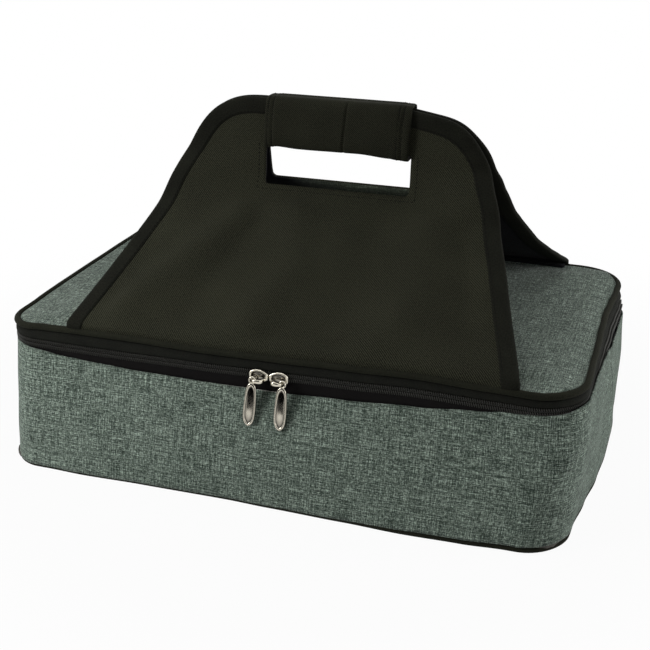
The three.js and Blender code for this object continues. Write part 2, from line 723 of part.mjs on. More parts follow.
addBase();
addLid();
addHandle('front', -1, 'front_hook_strip');
addHandle('rear', 1, 'rear_loop_strip');
addSlider('left', -1);
addSlider('right', 1);

export default carrier;
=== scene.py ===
import math

import bmesh
import bpy
from mathutils import Matrix, Vector, noise


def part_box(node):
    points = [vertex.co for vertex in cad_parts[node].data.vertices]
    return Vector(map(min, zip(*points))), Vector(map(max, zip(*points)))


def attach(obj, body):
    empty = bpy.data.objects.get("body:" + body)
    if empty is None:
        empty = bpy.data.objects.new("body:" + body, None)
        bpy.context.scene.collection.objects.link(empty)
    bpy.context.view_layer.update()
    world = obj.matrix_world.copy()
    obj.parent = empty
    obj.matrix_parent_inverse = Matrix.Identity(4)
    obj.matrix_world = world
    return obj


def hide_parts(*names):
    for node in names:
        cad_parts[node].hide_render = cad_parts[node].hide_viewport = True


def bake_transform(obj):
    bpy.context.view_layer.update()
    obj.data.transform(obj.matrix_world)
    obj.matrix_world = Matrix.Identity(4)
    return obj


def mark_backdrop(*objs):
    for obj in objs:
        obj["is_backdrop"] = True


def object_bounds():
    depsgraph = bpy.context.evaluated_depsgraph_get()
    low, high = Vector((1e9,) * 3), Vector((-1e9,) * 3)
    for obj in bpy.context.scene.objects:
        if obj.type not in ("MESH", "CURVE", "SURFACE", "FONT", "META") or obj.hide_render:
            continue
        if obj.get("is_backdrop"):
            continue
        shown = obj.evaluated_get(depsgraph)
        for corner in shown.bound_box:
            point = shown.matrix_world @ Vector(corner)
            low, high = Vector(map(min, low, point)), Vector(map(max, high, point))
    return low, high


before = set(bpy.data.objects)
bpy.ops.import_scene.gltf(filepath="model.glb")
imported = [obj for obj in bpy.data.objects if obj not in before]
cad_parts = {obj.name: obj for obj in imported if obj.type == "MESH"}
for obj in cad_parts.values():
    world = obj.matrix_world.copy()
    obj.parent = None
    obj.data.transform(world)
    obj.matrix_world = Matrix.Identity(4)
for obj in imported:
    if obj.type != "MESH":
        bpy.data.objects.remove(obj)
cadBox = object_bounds()
mm = 0.001
tiny = 1e-9
scene = bpy.context.scene
scene.view_settings.view_transform = "Standard"


def addToScene(name, data):
    obj = bpy.data.objects.new(name, data)
    scene.collection.objects.link(obj)
    return obj


def meshObject(name, bm):
    mesh = bpy.data.meshes.new(name)
    bm.to_mesh(mesh)
    bm.free()
    return addToScene(name, mesh)


# shader nodes: each input takes a value or a link
def setInputs(tree, node, inputs):
    for label, value in inputs.items():
        if isinstance(value, bpy.types.NodeSocket):
            tree.links.new(node.inputs[label], value)
        else:
            node.inputs[label].default_value = value


def addNode(tree, kind, inputs=None, **settings):
    node = tree.nodes.new("ShaderNode" + kind)
    for label, value in settings.items():
        setattr(node, label, value)
    setInputs(tree, node, inputs or {})
    return node


def mathNode(tree, operation, *values):
    return addNode(tree, "Math", dict(enumerate(values)), operation=operation).outputs[0]


# two shaders mixed by a share, into the tree's output
def mixShaders(tree, share, first, second, output):
    mix = addNode(tree, "MixShader", {0: share, 1: first.outputs[0], 2: second.outputs[0]})
    addNode(tree, output, {"Surface": mix.outputs[0]})


def newMaterial(name):
    mat = bpy.data.materials.new(name)
    mat.use_nodes = True
    tree = mat.node_tree
    return mat, tree, tree.nodes["Principled BSDF"]


# camera and studio, from the photo's viewpoint

viewpoint = {
    "aim": Vector((-2.15, 0, 78.26)) * mm, "turn": math.radians(18.691), "height": math.radians(22.974),
    "distance": 932.56 * mm, "lens": 68.5, "sensor": 36, "nearest": 0.01,
}
# place, size and power
lamps = {
    "leftSoftbox": ((-0.58, -0.56, 0.38), 0.32, 3.3),
    "leftFill": ((-0.9, -1.0, 1.0), 0.6, 2.2),
    "rightSoftbox": ((1.1, 0.3, 0.4), 0.5, 5.6),
    "rightFill": ((0.9, -0.6, 0.35), 0.4, 1.3),
    "topSoftbox": ((-0.25, 0.05, 1.2), 0.8, 3.9),
}
studio = {
    "lampAim": Vector((0, 0, 0.1)), "worldLight": 0.03, "floorSize": 6, "floorTone": 0.6, "floorWhite": 0.955,
    "whiteFrom": 0.24, "whiteTo": 0.5, "cardPlace": Vector((-0.112, -0.46, 0.16)), "cardWidth": 0.34,
    "cardHeight": 0.32, "cardFaces": -0.12, "cardTone": 0.004,
}


def lookAt(obj, target):
    obj.rotation_euler = (target - obj.location).to_track_quat("-Z", "Y").to_euler()


def setCamera(v):
    data = bpy.data.cameras.new("photoCamera")
    data.lens, data.sensor_width, data.clip_start = v["lens"], v["sensor"], v["nearest"]
    cam = addToScene("photoCamera", data)
    flat = math.cos(v["height"])
    heading = Vector((math.sin(v["turn"]) * flat, -math.cos(v["turn"]) * flat, math.sin(v["height"])))
    cam.location = v["aim"] + heading * v["distance"]
    lookAt(cam, v["aim"])
    scene.camera = cam


def setStudio(s):
    for name, (place, size, power) in lamps.items():
        data = bpy.data.lights.new(name, "AREA")
        data.shape, data.size, data.energy = "DISK", size, power
        obj = addToScene(name, data)
        obj.location = place
        lookAt(obj, s["lampAim"])
    scene.world = bpy.data.worlds.new("paperRoom")
    scene.world.use_nodes = True
    tree = scene.world.node_tree
    tree.nodes.clear()
    room, paper = [addNode(tree, "Background", {"Color": (1, 1, 1, 1), "Strength": light})
                   for light in (s["worldLight"], 1)]
    mixShaders(tree, paperRays(tree), room, paper, "OutputWorld")
    bm = bmesh.new()
    bmesh.ops.create_grid(bm, x_segments=1, y_segments=1, size=s["floorSize"])
    floor = meshObject("paperFloor", bm)
    floor.data.materials.append(paperMaterial(s))
    card = darkCard(s)
    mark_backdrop(floor, card)


# a black card that only mirrored rays meet, so that plated metal has something dark to show
def darkCard(s):
    place = s["cardPlace"]
    turn = (Vector((0, s["cardFaces"], place.z)) - place).to_track_quat("Z", "Y").to_matrix().to_4x4()
    shape = Matrix.Diagonal((s["cardWidth"] / 2, s["cardHeight"] / 2, 1, 1))
    matrix = Matrix.Translation(place) @ turn @ shape
    bm = bmesh.new()
    bmesh.ops.create_grid(bm, x_segments=1, y_segments=1, size=1, matrix=matrix)
    card = meshObject("darkCard", bm)
    mat, tree, shader = newMaterial("cardBlack")
    setInputs(tree, shader, {"Base Color": [s["cardTone"]] * 3 + [1], "Specular IOR Level": 0})
    card.data.materials.append(mat)
    for rays in ("camera", "diffuse", "shadow", "transmission"):
        setattr(card, "visible_" + rays, False)
    return card


# rays that should see plain paper: straight from the camera, mirrored or let through
def paperRays(tree):
    rays = addNode(tree, "LightPath").outputs
    seen = mathNode(tree, "MAXIMUM", rays["Is Camera Ray"], rays["Is Glossy Ray"])
    return mathNode(tree, "MAXIMUM", seen, rays["Is Transmission Ray"])


def paperMaterial(s):
    mat, tree = newMaterial("paper")[:2]
    tree.nodes.clear()
    matt = addNode(tree, "BsdfDiffuse", {"Color": [s["floorTone"]] * 3 + [1]})
    spot = addNode(tree, "TexCoord").outputs["Object"]
    away = addNode(tree, "VectorMath", {0: spot}, operation="LENGTH").outputs["Value"]
    limits = {"From Min": s["whiteFrom"], "From Max": s["whiteTo"], "To Min": s["floorWhite"]}
    fade = addNode(tree, "MapRange", {"Value": away, **limits}, interpolation_type="SMOOTHSTEP")
    share = mathNode(tree, "MULTIPLY", paperRays(tree), fade.outputs[0])
    mixShaders(tree, share, matt, addNode(tree, "Emission"), "OutputMaterial")
    return mat


setCamera(viewpoint)
setStudio(studio)
print("camera and studio ready")


# shader groups: cloth threads, heather and soft wear, each built once from flat cloth coordinates in metres
def newGroup(name, settings, outputs):
    tree = bpy.data.node_groups.new(name, "ShaderNodeTree")
    tree.interface.new_socket(name="Vector", in_out="INPUT", socket_type="NodeSocketVector")
    for label, value in settings.items():
        socket = tree.interface.new_socket(name=label, in_out="INPUT", socket_type="NodeSocketFloat")
        socket.default_value = value
    for label in outputs:
        tree.interface.new_socket(name=label, in_out="OUTPUT", socket_type="NodeSocketFloat")
    return tree, tree.nodes.new("NodeGroupInput").outputs, tree.nodes.new("NodeGroupOutput")


def stretchedNoise(tree, vector, stretch, detail):
    mapping = addNode(tree, "Mapping", {"Vector": vector, "Scale": stretch})
    grain = addNode(tree, "TexNoise", {"Vector": mapping.outputs[0], "Scale": 1, "Detail": detail})
    return grain.outputs["Fac"]


# plain weave or twill: thread height
def makeThreads():
    tree, start, end = newGroup("clothThreads", {"Threads": 1400.0, "Twill": 0.0}, ["Height"])
    split = addNode(tree, "SeparateXYZ", {0: start["Vector"]}).outputs
    turns = mathNode(tree, "MULTIPLY", start["Threads"], math.pi * 2)
    places = (split[0], split[1], mathNode(tree, "ADD", split[0], split[1]))
    across, along, rib = [mathNode(tree, "SINE", mathNode(tree, "MULTIPLY", p, turns)) for p in places]
    plain = mathNode(tree, "MULTIPLY", across, along)
    mix = addNode(tree, "Mix", {0: start["Twill"], 2: plain, 3: rib})
    setInputs(tree, end, {"Height": mix.outputs[0]})
    return tree


# uneven yarn: short pale and dark streaks along both thread directions, as (stretch, detail, share)
heather = {
    "streaks": [((1700, 420, 1), 1, 1.2), ((360, 1700, 1), 1, 1.2), ((1900, 1900, 1), 0, 0.8),
                ((60, 1500, 1), 1, 1.1), ((1500, 60, 1), 1, 0.9)],
    "from": 1.94, "to": 3.26, "power": 2.4, "cloud": (28, 28, 1), "cloudDetail": 3,
}


def makeHeather(h):
    tree, start, end = newGroup("heatherYarn", {}, ["Pale", "Cloud"])
    vector = start["Vector"]
    total = 0.0
    for stretch, detail, share in h["streaks"]:
        streak = mathNode(tree, "MULTIPLY", stretchedNoise(tree, vector, stretch, detail), share)
        total = mathNode(tree, "ADD", streak, total)
    ramp = addNode(tree, "MapRange", {"Value": total, "From Min": h["from"], "From Max": h["to"]})
    pale = mathNode(tree, "POWER", ramp.outputs[0], h["power"])
    cloud = stretchedNoise(tree, vector, h["cloud"], h["cloudDetail"])
    setInputs(tree, end, {"Pale": pale, "Cloud": cloud})
    return tree


# soft light and dark patches for cloth that has been handled
def makeRub():
    tree, start, end = newGroup("handledCloth", {"Size": 40.0}, ["Patch", "Fuzz"])
    for label, scale, detail in (("Patch", start["Size"], 3), ("Fuzz", 1100, 2)):
        grain = addNode(tree, "TexNoise", {"Vector": start["Vector"], "Scale": scale, "Detail": detail})
        setInputs(tree, end, {label: grain.outputs["Fac"]})
    return tree


threadsGroup = makeThreads()
heatherGroup = makeHeather(heather)
rubGroup = makeRub()


def toLinear(colour):
    return [(c / 255 / 12.92) if c <= 10 else ((c / 255 + 0.055) / 1.055) ** 2.4 for c in colour] + [1]


def placeGroup(tree, group, vector, **values):
    return addNode(tree, "Group", {"Vector": vector, **values}, node_tree=group).outputs


def clothVector(tree, flat):
    return addNode(tree, "TexCoord").outputs["UV" if flat else "Object"]


# the colour sockets of a mix node are its inputs 6 and 7 and its output 2
def mixColours(tree, share, dark, pale):
    return addNode(tree, "Mix", {0: share, 6: dark, 7: pale}, data_type="RGBA").outputs[2]


def bumpFrom(tree, height, strength, distance):
    return addNode(tree, "Bump", {"Height": height, "Strength": strength, "Distance": distance}).outputs[0]


canvasLook = {
    "dark": (34, 48, 40), "pale": (204, 222, 206), "threads": 1300, "rough": 0.95, "thread": 0.04,
    "cloud": 0.1, "less": 0.05, "yarnHeight": 0.8, "bump": 0.35, "bumpDeep": 0.2 * mm,
}
plainCloth = {
    "dark": (13, 14, 13), "pale": (34, 35, 32), "threads": 1500, "rough": 0.88, "grain": 1.0, "twill": 0.0,
    "rib": 0.3, "fuzz": 1.3, "patch": 0.6, "patchSize": 60.0, "sheen": 0.0, "flat": True,
    "bump": 0.3, "bumpDeep": 0.15 * mm,
}
twillCloth = {
    **plainCloth, "dark": (13, 13, 8), "pale": (58, 59, 46), "threads": 590, "rough": 0.9, "grain": 1.9,
    "twill": 1.0, "patch": 0.35, "patchSize": 18.0,
}
liningCloth = {**plainCloth, "dark": (5, 5, 8), "pale": (20, 20, 24), "patchSize": 30.0, "sheen": 0.02}
smallCloth = {**plainCloth, "flat": False}


def canvasMaterial(look):
    mat, tree, shader = newMaterial("heatheredCanvas")
    vector = clothVector(tree, True)
    yarn = placeGroup(tree, heatherGroup, vector)
    threads = placeGroup(tree, threadsGroup, vector, Threads=look["threads"], Twill=0.0)["Height"]
    toned = mathNode(tree, "ADD", yarn["Pale"], mathNode(tree, "MULTIPLY", threads, look["thread"]))
    clouded = mathNode(tree, "ADD", toned, mathNode(tree, "MULTIPLY", yarn["Cloud"], look["cloud"]))
    share = mathNode(tree, "SUBTRACT", clouded, look["less"])
    height = mathNode(tree, "ADD", threads, mathNode(tree, "MULTIPLY", yarn["Pale"], look["yarnHeight"]))
    setInputs(tree, shader, {
        "Base Color": mixColours(tree, share, toLinear(look["dark"]), toLinear(look["pale"])),
        "Roughness": look["rough"], "Specular IOR Level": 0.2, "Sheen Weight": 0.12, "Sheen Roughness": 0.5,
        "Normal": bumpFrom(tree, height, look["bump"], look["bumpDeep"]),
    })
    return mat


def clothMaterial(name, look):
    mat, tree, shader = newMaterial(name)
    vector = clothVector(tree, look["flat"])
    threads = placeGroup(tree, threadsGroup, vector, Threads=look["threads"], Twill=look["twill"])["Height"]
    rub = placeGroup(tree, rubGroup, vector, Size=look["patchSize"])
    summed = mathNode(tree, "MULTIPLY", threads, look["rib"])
    for label, part in (("Fuzz", look["fuzz"]), ("Patch", look["patch"])):
        change = mathNode(tree, "MULTIPLY", mathNode(tree, "SUBTRACT", rub[label], 0.5), part)
        summed = mathNode(tree, "ADD", summed, change)
    share = mathNode(tree, "ADD", mathNode(tree, "MULTIPLY", summed, look["grain"]), 0.5)
    height = mathNode(tree, "ADD", threads, rub["Fuzz"])
    setInputs(tree, shader, {
        "Base Color": mixColours(tree, share, toLinear(look["dark"]), toLinear(look["pale"])),
        "Roughness": look["rough"], "Specular IOR Level": 0.1, "Sheen Weight": look["sheen"],
        "Sheen Roughness": 0.45, "Normal": bumpFrom(tree, height, look["bump"], look["bumpDeep"]),
    })
    return mat


# the first share darkens the plating where painted shade and painted dark reflection are marked
metalLook = {
    "shadeTone": 0.24, "smoothest": 0.6, "roughest": 1.5, "patchSize": 260.0, "bump": 0.06, "bumpDeep": 0.1 * mm,
}
filmLook = {"shade": 0.8, "patchSize": 55.0, "bump": 0.25, "bumpDeep": 1.2 * mm}


# plated metal, darkened where its piece is marked: painted shade in the slider's recess and painted dark
# reflection round the pull's edges
def metalMaterial(name, tone, rough):
    look = metalLook
    mat, tree, shader = newMaterial(name)
    patch = placeGroup(tree, rubGroup, clothVector(tree, False), Size=look["patchSize"])["Patch"]
    # the marked painted shade and painted dark reflection, read from the piece
    paintedShade = addNode(tree, "Attribute", attribute_name="paintedShade").outputs["Fac"]
    shadeTone = [c * look["shadeTone"] for c in tone]
    limits = {"To Min": rough * look["smoothest"], "To Max": rough * look["roughest"]}
    span = addNode(tree, "MapRange", {"Value": patch, **limits})
    setInputs(tree, shader, {
        "Base Color": mixColours(tree, paintedShade, toLinear(tone), toLinear(shadeTone)), "Metallic": 1,
        "Roughness": span.outputs[0], "Normal": bumpFrom(tree, patch, look["bump"], look["bumpDeep"]),
    })
    return mat


def filmMaterial(name, tone, rough):
    look = filmLook
    mat, tree, shader = newMaterial(name)
    patch = placeGroup(tree, rubGroup, clothVector(tree, False), Size=look["patchSize"])["Patch"]
    dark = [c * look["shade"] for c in tone]
    setInputs(tree, shader, {
        "Base Color": mixColours(tree, patch, toLinear(dark), toLinear(tone)), "Roughness": rough,
        "Normal": bumpFrom(tree, patch, look["bump"], look["bumpDeep"]),
    })
    return mat


# cloth as (material, cloth it is like, what differs)
clothLooks = {
    "twill": ("darkTwill", twillCloth, {}),
    "gripTwill": ("gripTwill", twillCloth, {"dark": (11, 11, 7), "pale": (46, 47, 36), "patchSize": 30.0}),
    "lining": ("liningCloth", liningCloth, {}),
    "binding": ("bindingTape", plainCloth, {"dark": (7, 7, 4), "pale": (31, 32, 25), "grain": 1.6}),
    "piping": ("pipingCloth", smallCloth, {"dark": (13, 14, 10), "pale": (42, 43, 33)}),
    "tape": ("zipTape", smallCloth, {"dark": (10, 11, 9), "pale": (34, 35, 30), "twill": 1.0}),
    # the tape below the chain: the zip tape in a darker copy, its extra darkness painted shade under the
    # chain
    "shadedTape": ("shadedTape", smallCloth, {"dark": (6, 5, 5), "pale": (22, 20, 20), "twill": 1.0}),
    "thread": ("sewingThread", smallCloth, {"dark": (4, 4, 3), "pale": (17, 17, 13), "patchSize": 90.0}),
    "hook": ("hookTape", smallCloth, {"threads": 700, "patchSize": 90.0, "sheen": 0.1}),
}
looks = {
    "canvas": canvasMaterial(canvasLook),
    "coil": filmMaterial("nylonCoil", (38, 38, 32), 0.65),
    "foam": filmMaterial("whiteFoam", (222, 221, 214), 0.95),
    "film": filmMaterial("greyFilm", (184, 188, 188), 0.34),
    "board": filmMaterial("stiffBoard", (84, 82, 76), 0.8),
    "nickel": metalMaterial("nickelPlate", (203, 197, 182), 0.12),
}
for label, (name, like, more) in clothLooks.items():
    looks[label] = clothMaterial(name, {**like, **more})
print("materials ready")

# pieces: one object each, at the origin, riding on its body

handleBody = {-1: "front_handle", 1: "rear_handle"}


def addPiece(name, bm, look, body, stands=()):
    obj = meshObject(name, bm)
    obj.data.materials.append(looks[look])
    for face in obj.data.polygons:
        face.use_smooth = True
    if body:
        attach(obj, body)
    if stands:
        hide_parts(*stands)
    return obj


def thicken(obj, thickness, offset=-1):
    solid = obj.modifiers.new("solidify", "SOLIDIFY")
    solid.thickness, solid.offset, solid.use_even_offset = thickness, offset, True


def soften(point, amount, size, seed):
    return amount * noise.noise(point / size + Vector((seed, seed * 2.3, -seed)))


def steps(first, last, count):
    return [first + (last - first) * i / count for i in range(count + 1)]


def ease(value):
    value = min(max(value, 0), 1)
    return value * value * (3 - 2 * value)


def tableAt(table, place, shape=float):
    place = min(max(place, table[0][0]), table[-1][0])
    for (x0, y0), (x1, y1) in zip(table, table[1:]):
        if place <= x1:
            return y0 + (y1 - y0) * shape((place - x0) / (x1 - x0))


def quarterArc(centre, radius, start, count):
    turns = [start + t * math.pi / 2 for t in steps(0, 1, count)]
    return [centre + radius * Vector((math.cos(turn), math.sin(turn))) for turn in turns]


# even steps along a line of points, as (place, heading)
def evenRun(points, step):
    run, rest = [], 0.0
    for here, there in zip(points, points[1:]):
        length = (there - here).length
        if length < tiny:
            continue
        heading = (there - here) / length
        while rest < length:
            run.append((here + heading * rest, heading))
            rest += step
        rest -= length
    return run


# the box's outlines, the same as the solids'

box = {
    "lidWidth": 410 * mm, "lidDepth": 244 * mm, "baseWidth": 408 * mm, "baseDepth": 281 * mm,
    "radius": 31 * mm, "bulge": 3 * mm, "wallHeight": 79.5 * mm, "wallInset": 2 * mm,
    "cornerSteps": 16, "longSteps": 96, "shortSteps": 100, "cornerIn": 0.7, "cornerBlend": 12 * mm,
    "frontFrom": 45 * mm, "frontFade": 60 * mm,
    "lidRadii": [36 * mm, 31 * mm, 26 * mm, 31 * mm], "baseRadii": [28 * mm, 26 * mm, 24 * mm, 30 * mm],
}

# how far the soft edges stray from straight, in mm: (place along the edge, rise)
edgeWave = {
    "lid": [(-205, -2.2), (-190, -1.6), (-170, -0.4), (-140, 0), (-100, 0.1), (-50, -0.8), (0, -0.1),
            (50, 1.1), (100, 2.3), (150, 0.8), (180, 0), (205, 0)],
    "chain": [(-205, -1.0), (-130, -1.5), (-50, -0.9), (0, 0.1), (50, 1.1), (100, 2.7), (150, 1.8),
              (180, 1.3), (205, 1)],
    "canvasFront": [(-205, 8), (-190, 6.4), (-180, 5), (-150, 1.9), (-130, 0.7), (-100, -0.6), (-50, -1.2),
                    (0, -1.2), (50, 0.7), (100, 3.5), (140, 6.9), (160, 9.4), (180, 10.2), (205, 11)],
    "canvasRight": [(-122, 11.5), (-100, 14), (-60, 14.3), (-20, 12.5), (15, 7), (50, 2.4), (122, 1.5)],
    "canvasLeft": [(-122, 8), (-60, 2.4), (0, 0.5), (122, 1.5)],
    "canvasRear": [(-205, 1.5), (-120, 0), (120, 0), (205, 1.5)],
    "hang": [(-205, 0), (-100, -0.4), (40, 0), (120, 1.6), (205, 2.6)],
    "shoulderFront": [(108, 0), (150, -1.6), (171, -2.6), (184, -1.9), (197, -1.7), (212, -0.7), (226, -0.7),
                      (236, -0.3), (250, 0)],
    "shoulderRear": [(108, 0), (118, 2), (126, 3.3), (135, 2.4), (150, -0.6), (172, -2), (188, -1.3),
                     (203, 0.6), (220, 2.2), (236, 0.6), (250, 0)],
    "lidRight": [(-122, 0), (-89, 1.6), (-49, 0.6), (-27, 0), (-3, -1), (27, -1.7), (50, -0.8), (71, 0.4),
                 (122, 0.4)],
    "zipRight": [(-122, 0), (-90, 0.9), (-74, 1.8), (-33, 3.8), (-7, 5), (15, 6.2), (39, 5.6),
                 (86, 4.2), (122, 2)],
    "lidLeft": [(-122, -0.7), (-100, -1), (-75, -2.2), (-50, -3), (-15, -3.2), (40, -3.8),
                (82, -4.6), (122, -5)],
    "topRight": [(-122, 0.2), (-90, 1.4), (-74, 2.2), (-33, 3.1), (-7, 4), (15, 5.8),
                 (39, 6), (86, 5), (122, 1.6)],
    "topLeft": [(-122, 0), (-90, -0.8), (-40, -2.4), (0, -3.2), (122, -4.5)],
    "midRight": [(-140, -2), (-100, -1), (-50, 2.5), (0, 4), (45, 4.5), (90, 3), (140, 0)],
    "midLeft": [(-140, -7), (-100, -6), (-40, -3), (40, -2), (140, -4)],
    "lowRight": [(-140, -1), (-101, 0), (-68, 3.2), (-33, 6.8), (4, 8.5), (43, 8.3),
                 (85, 5), (106, 2), (140, 0)],
    "lowLeft": [(-140, -6.5), (-100, -4.5), (-50, -1), (0, 1), (60, 0), (140, -4)],
    "lowFront": [(-205, 0), (-170, 0.3), (-141, 1.3), (-95, 0), (-30, -0.5), (5, 0.6), (57, 2), (98, 3.3),
                 (138, 2.3), (169, 0), (205, -1)],
    "gripEdge": [(-53, 0), (-43, 1.4), (-28, 0.6), (17, 1.0), (40, -0.5), (45, -1.1), (53, -1.6)],
}


def waveAt(name, place):
    return tableAt(edgeWave[name], place / mm, ease) * mm


# stray along the front edge, none from the middle of the box back
def lidWave(name, point):
    return waveAt(name, point.x) * ease((-point.y - box["frontFrom"]) / box["frontFade"])


def sideWave(name, point):
    return waveAt(name + ("Right" if point.x > 0 else "Left"), point.y)


# rise of the canvas wall's top edge, read off the side that the point is nearest to
def canvasWave(point):
    toFront = box["lidDepth"] / 2 + point.y
    toRear = box["lidDepth"] / 2 - point.y
    toSide = box["lidWidth"] / 2 - abs(point.x)
    end = waveAt("canvasFront" if toFront < toRear else "canvasRear", point.x)
    gaps = (toSide, min(toFront, toRear))
    nearSide, nearEnd = [math.exp(-max(away, 0) / box["cornerBlend"]) for away in gaps]
    return (sideWave("canvas", point) * nearSide + end * nearEnd) / (nearSide + nearEnd)


def planRing(width, depth, radii):
    ring = []
    signs = [(1, 1), (-1, 1), (-1, -1), (1, -1)]
    centres = [Vector((sx * (width / 2 - r), sy * (depth / 2 - r))) for (sx, sy), r in zip(signs, radii)]
    for corner, centre in enumerate(centres):
        arc = quarterArc(centre, radii[corner], corner * math.pi / 2, box["cornerSteps"])
        after = (corner + 1) % 4
        turn = (corner + 1) * math.pi / 2
        far = centres[after] + radii[after] * Vector((math.cos(turn), math.sin(turn)))
        count = box["longSteps"] if corner % 2 == 0 else box["shortSteps"]
        ring += arc + [arc[-1].lerp(far, step / count) for step in range(1, count)]
    return ring


def cornerShare(point, reach):
    inX = box["lidWidth"] / 2 - box["radius"] * box["cornerIn"]
    inY = box["lidDepth"] / 2 - box["radius"] * box["cornerIn"]
    away = Vector((max(inX - abs(point.x), 0), max(inY - abs(point.y), 0))).length
    return math.exp(-(away / reach) ** 2)


# the lid's outline: its short sides stray as the tables say
def lidRing(inset):
    radii = [radius - inset for radius in box["lidRadii"]]
    ring = planRing(box["lidWidth"] - 2 * inset, box["lidDepth"] - 2 * inset, radii)
    for p in ring:
        p.x += sideWave("lid", p) * p.x / (box["lidWidth"] / 2)
    return ring


# outward stray of the wall's short sides, a curve through its foot, middle and top
def sideStray(point, up):
    low, middle, top = [sideWave(name, point) for name in ("low", "mid", "top")]
    return low * (1 - up) * (1 - 2 * up) + middle * 4 * up * (1 - up) + top * up * (2 * up - 1)


def wallRing(z, inset):
    up = min(max(z / box["wallHeight"], 0), 1)
    swell = box["bulge"] * math.sin(math.pi * up) - inset
    topWidth = box["lidWidth"] - 2 * box["wallInset"]
    topDepth = box["lidDepth"] - 2 * box["wallInset"]
    width = box["baseWidth"] + (topWidth - box["baseWidth"]) * up + 2 * swell
    depth = box["baseDepth"] + (topDepth - box["baseDepth"]) * up + 2 * swell
    radii = [low + (top - low) * up - inset for low, top in zip(box["baseRadii"], box["lidRadii"])]
    ring = planRing(width, depth, radii)
    for p in ring:
        front = waveAt("lowFront", p.x) * (1 - up) ** 2 * max(-p.y, 0) / (depth / 2)
        p.x += sideStray(p, up) * p.x / (width / 2)
        p.y -= front
    return ring


def raised(ring, z, share=1):
    return [Vector((p.x * share, p.y * share, z)) for p in ring]


# skin over rings: the first loop is a circle moved into place, each further one is extruded from it
def loftRings(rings, closeUp=False, capFirst=False, capLast=False):
    bm = bmesh.new()
    order = bm.verts.layers.int.new("order")
    row = bm.verts.layers.int.new("row")
    made = bmesh.ops.create_circle(bm, segments=len(rings[0]), radius=1)["verts"]
    for index, vert in enumerate(made):
        vert[order] = index
        vert.co = rings[0][index]
    firstEdges = edges = list(bm.edges)
    for number, ring in enumerate(rings[1:], 1):
        out = bmesh.ops.extrude_edge_only(bm, edges=edges)["geom"]
        fresh = {g for g in out if isinstance(g, bmesh.types.BMVert)}
        for vert in fresh:
            vert.co = ring[vert[order]]
            vert[row] = number
        edges = [g for g in out if isinstance(g, bmesh.types.BMEdge) and set(g.verts) <= fresh]
    if closeUp:
        bmesh.ops.bridge_loops(bm, edges=firstEdges + edges)
    if capFirst:
        bmesh.ops.contextual_create(bm, geom=firstEdges)
    if capLast:
        bmesh.ops.contextual_create(bm, geom=edges)
    bmesh.ops.recalc_face_normals(bm, faces=bm.faces)
    return bm


# flat cloth coordinates in metres: round the outline and up the rows
def wrapCoordinates(bm, ring, endShare=1.0):
    around = [0]
    for here, there in zip(ring, ring[1:] + ring[:1]):
        length = (there - here).length
        onEnd = abs(there.y - here.y) / max(length, tiny)
        around.append(around[-1] + length * (1 + (endShare - 1) * onEnd))
    count = len(ring)
    order = bm.verts.layers.int["order"]
    layer = bm.loops.layers.uv.new("cloth")
    for face in bm.faces:
        spots = [loop.vert[order] for loop in face.loops]
        wraps = max(spots) - min(spots) > count / 2
        for loop, spot in zip(face.loops, spots):
            place = around[count] if wraps and spot == 0 else around[spot]
            loop[layer].uv = (place, loop.vert.co.z)


# flat cloth coordinates from each corner's place
def setCloth(bm, flatten):
    layer = bm.loops.layers.uv.new("cloth")
    for face in bm.faces:
        for loop in face.loops:
            loop[layer].uv = flatten(loop.vert.co)


# a strip of cloth, laid by its places across and up, each -1 to 1
def layGrid(columns, rows, lay, flatten=None):
    bm = bmesh.new()
    bmesh.ops.create_grid(bm, x_segments=columns, y_segments=rows, size=1)
    if flatten:
        setCloth(bm, flatten)
    for vert in bm.verts:
        vert.co = lay(vert.co.x, vert.co.y)
    bmesh.ops.recalc_face_normals(bm, faces=bm.faces)
    return bm


# canvas wall: one belt that swells, with a top edge that climbs the zip tape at the corners

wall = {
    "bottom": 2.6 * mm, "rows": 30, "thickness": 1.2 * mm, "flatHeight": 82 * mm, "endYarn": 0.8,
    "pocketOut": 7 * mm, "pocketFrom": 170 * mm, "pocketFade": 24 * mm, "pocketFront": -80 * mm,
    "pocketRear": 45 * mm, "pocketRearFade": 70 * mm, "pocketLean": 0.66, "leanFrom": 0.72,
    "cornerOut": 1.2 * mm, "reach": 30 * mm, "foldCentre": Vector((170, -100)) * mm, "foldBehind": 12 * mm,
    "foldTurn": [(0, 88), (20, 82), (45, 60), (78, 8)], "foldReach": 13, "foldOut": 1.6 * mm,
    "seamPlace": -8 * mm, "seamDepth": 2.4 * mm, "seamHalf": 1.6 * mm, "seamPuff": 2 * mm,
    "seamPuffReach": 24 * mm, "dents": [(1.1 * mm, 0.085, 3.1), (0.5 * mm, 0.028, 7.7)],
}


# the wall swells over the zip's end at the front right corner, fullest below its top edge, which leans in
def pocketStray(point, share, w):
    if point.x < 0:
        return 0.0
    front = ease((point.x - w["pocketFrom"]) / w["pocketFade"]) if point.y < w["pocketFront"] else 1.0
    full = front * ease((w["pocketRear"] - point.y) / w["pocketRearFade"])
    lean = w["pocketLean"] * ease((share - w["leanFrom"]) / (1 - w["leanFrom"]))
    return w["pocketOut"] * full * share ** 2 * (1 - lean)


# a soft slanting fold round the front right corner, from the end of the zip down to the front
def foldStray(point, z, w):
    flat = point - w["foldCentre"]
    if flat.x < 0 or flat.y > w["foldBehind"]:
        return 0.0
    turn = math.degrees(math.atan2(-flat.y, flat.x))
    away = (turn - tableAt(w["foldTurn"], z / mm)) / w["foldReach"]
    tall = math.sin(math.pi * min(max(z / box["wallHeight"], 0), 1)) ** 0.5
    return w["foldOut"] * math.exp(-away ** 2) * tall


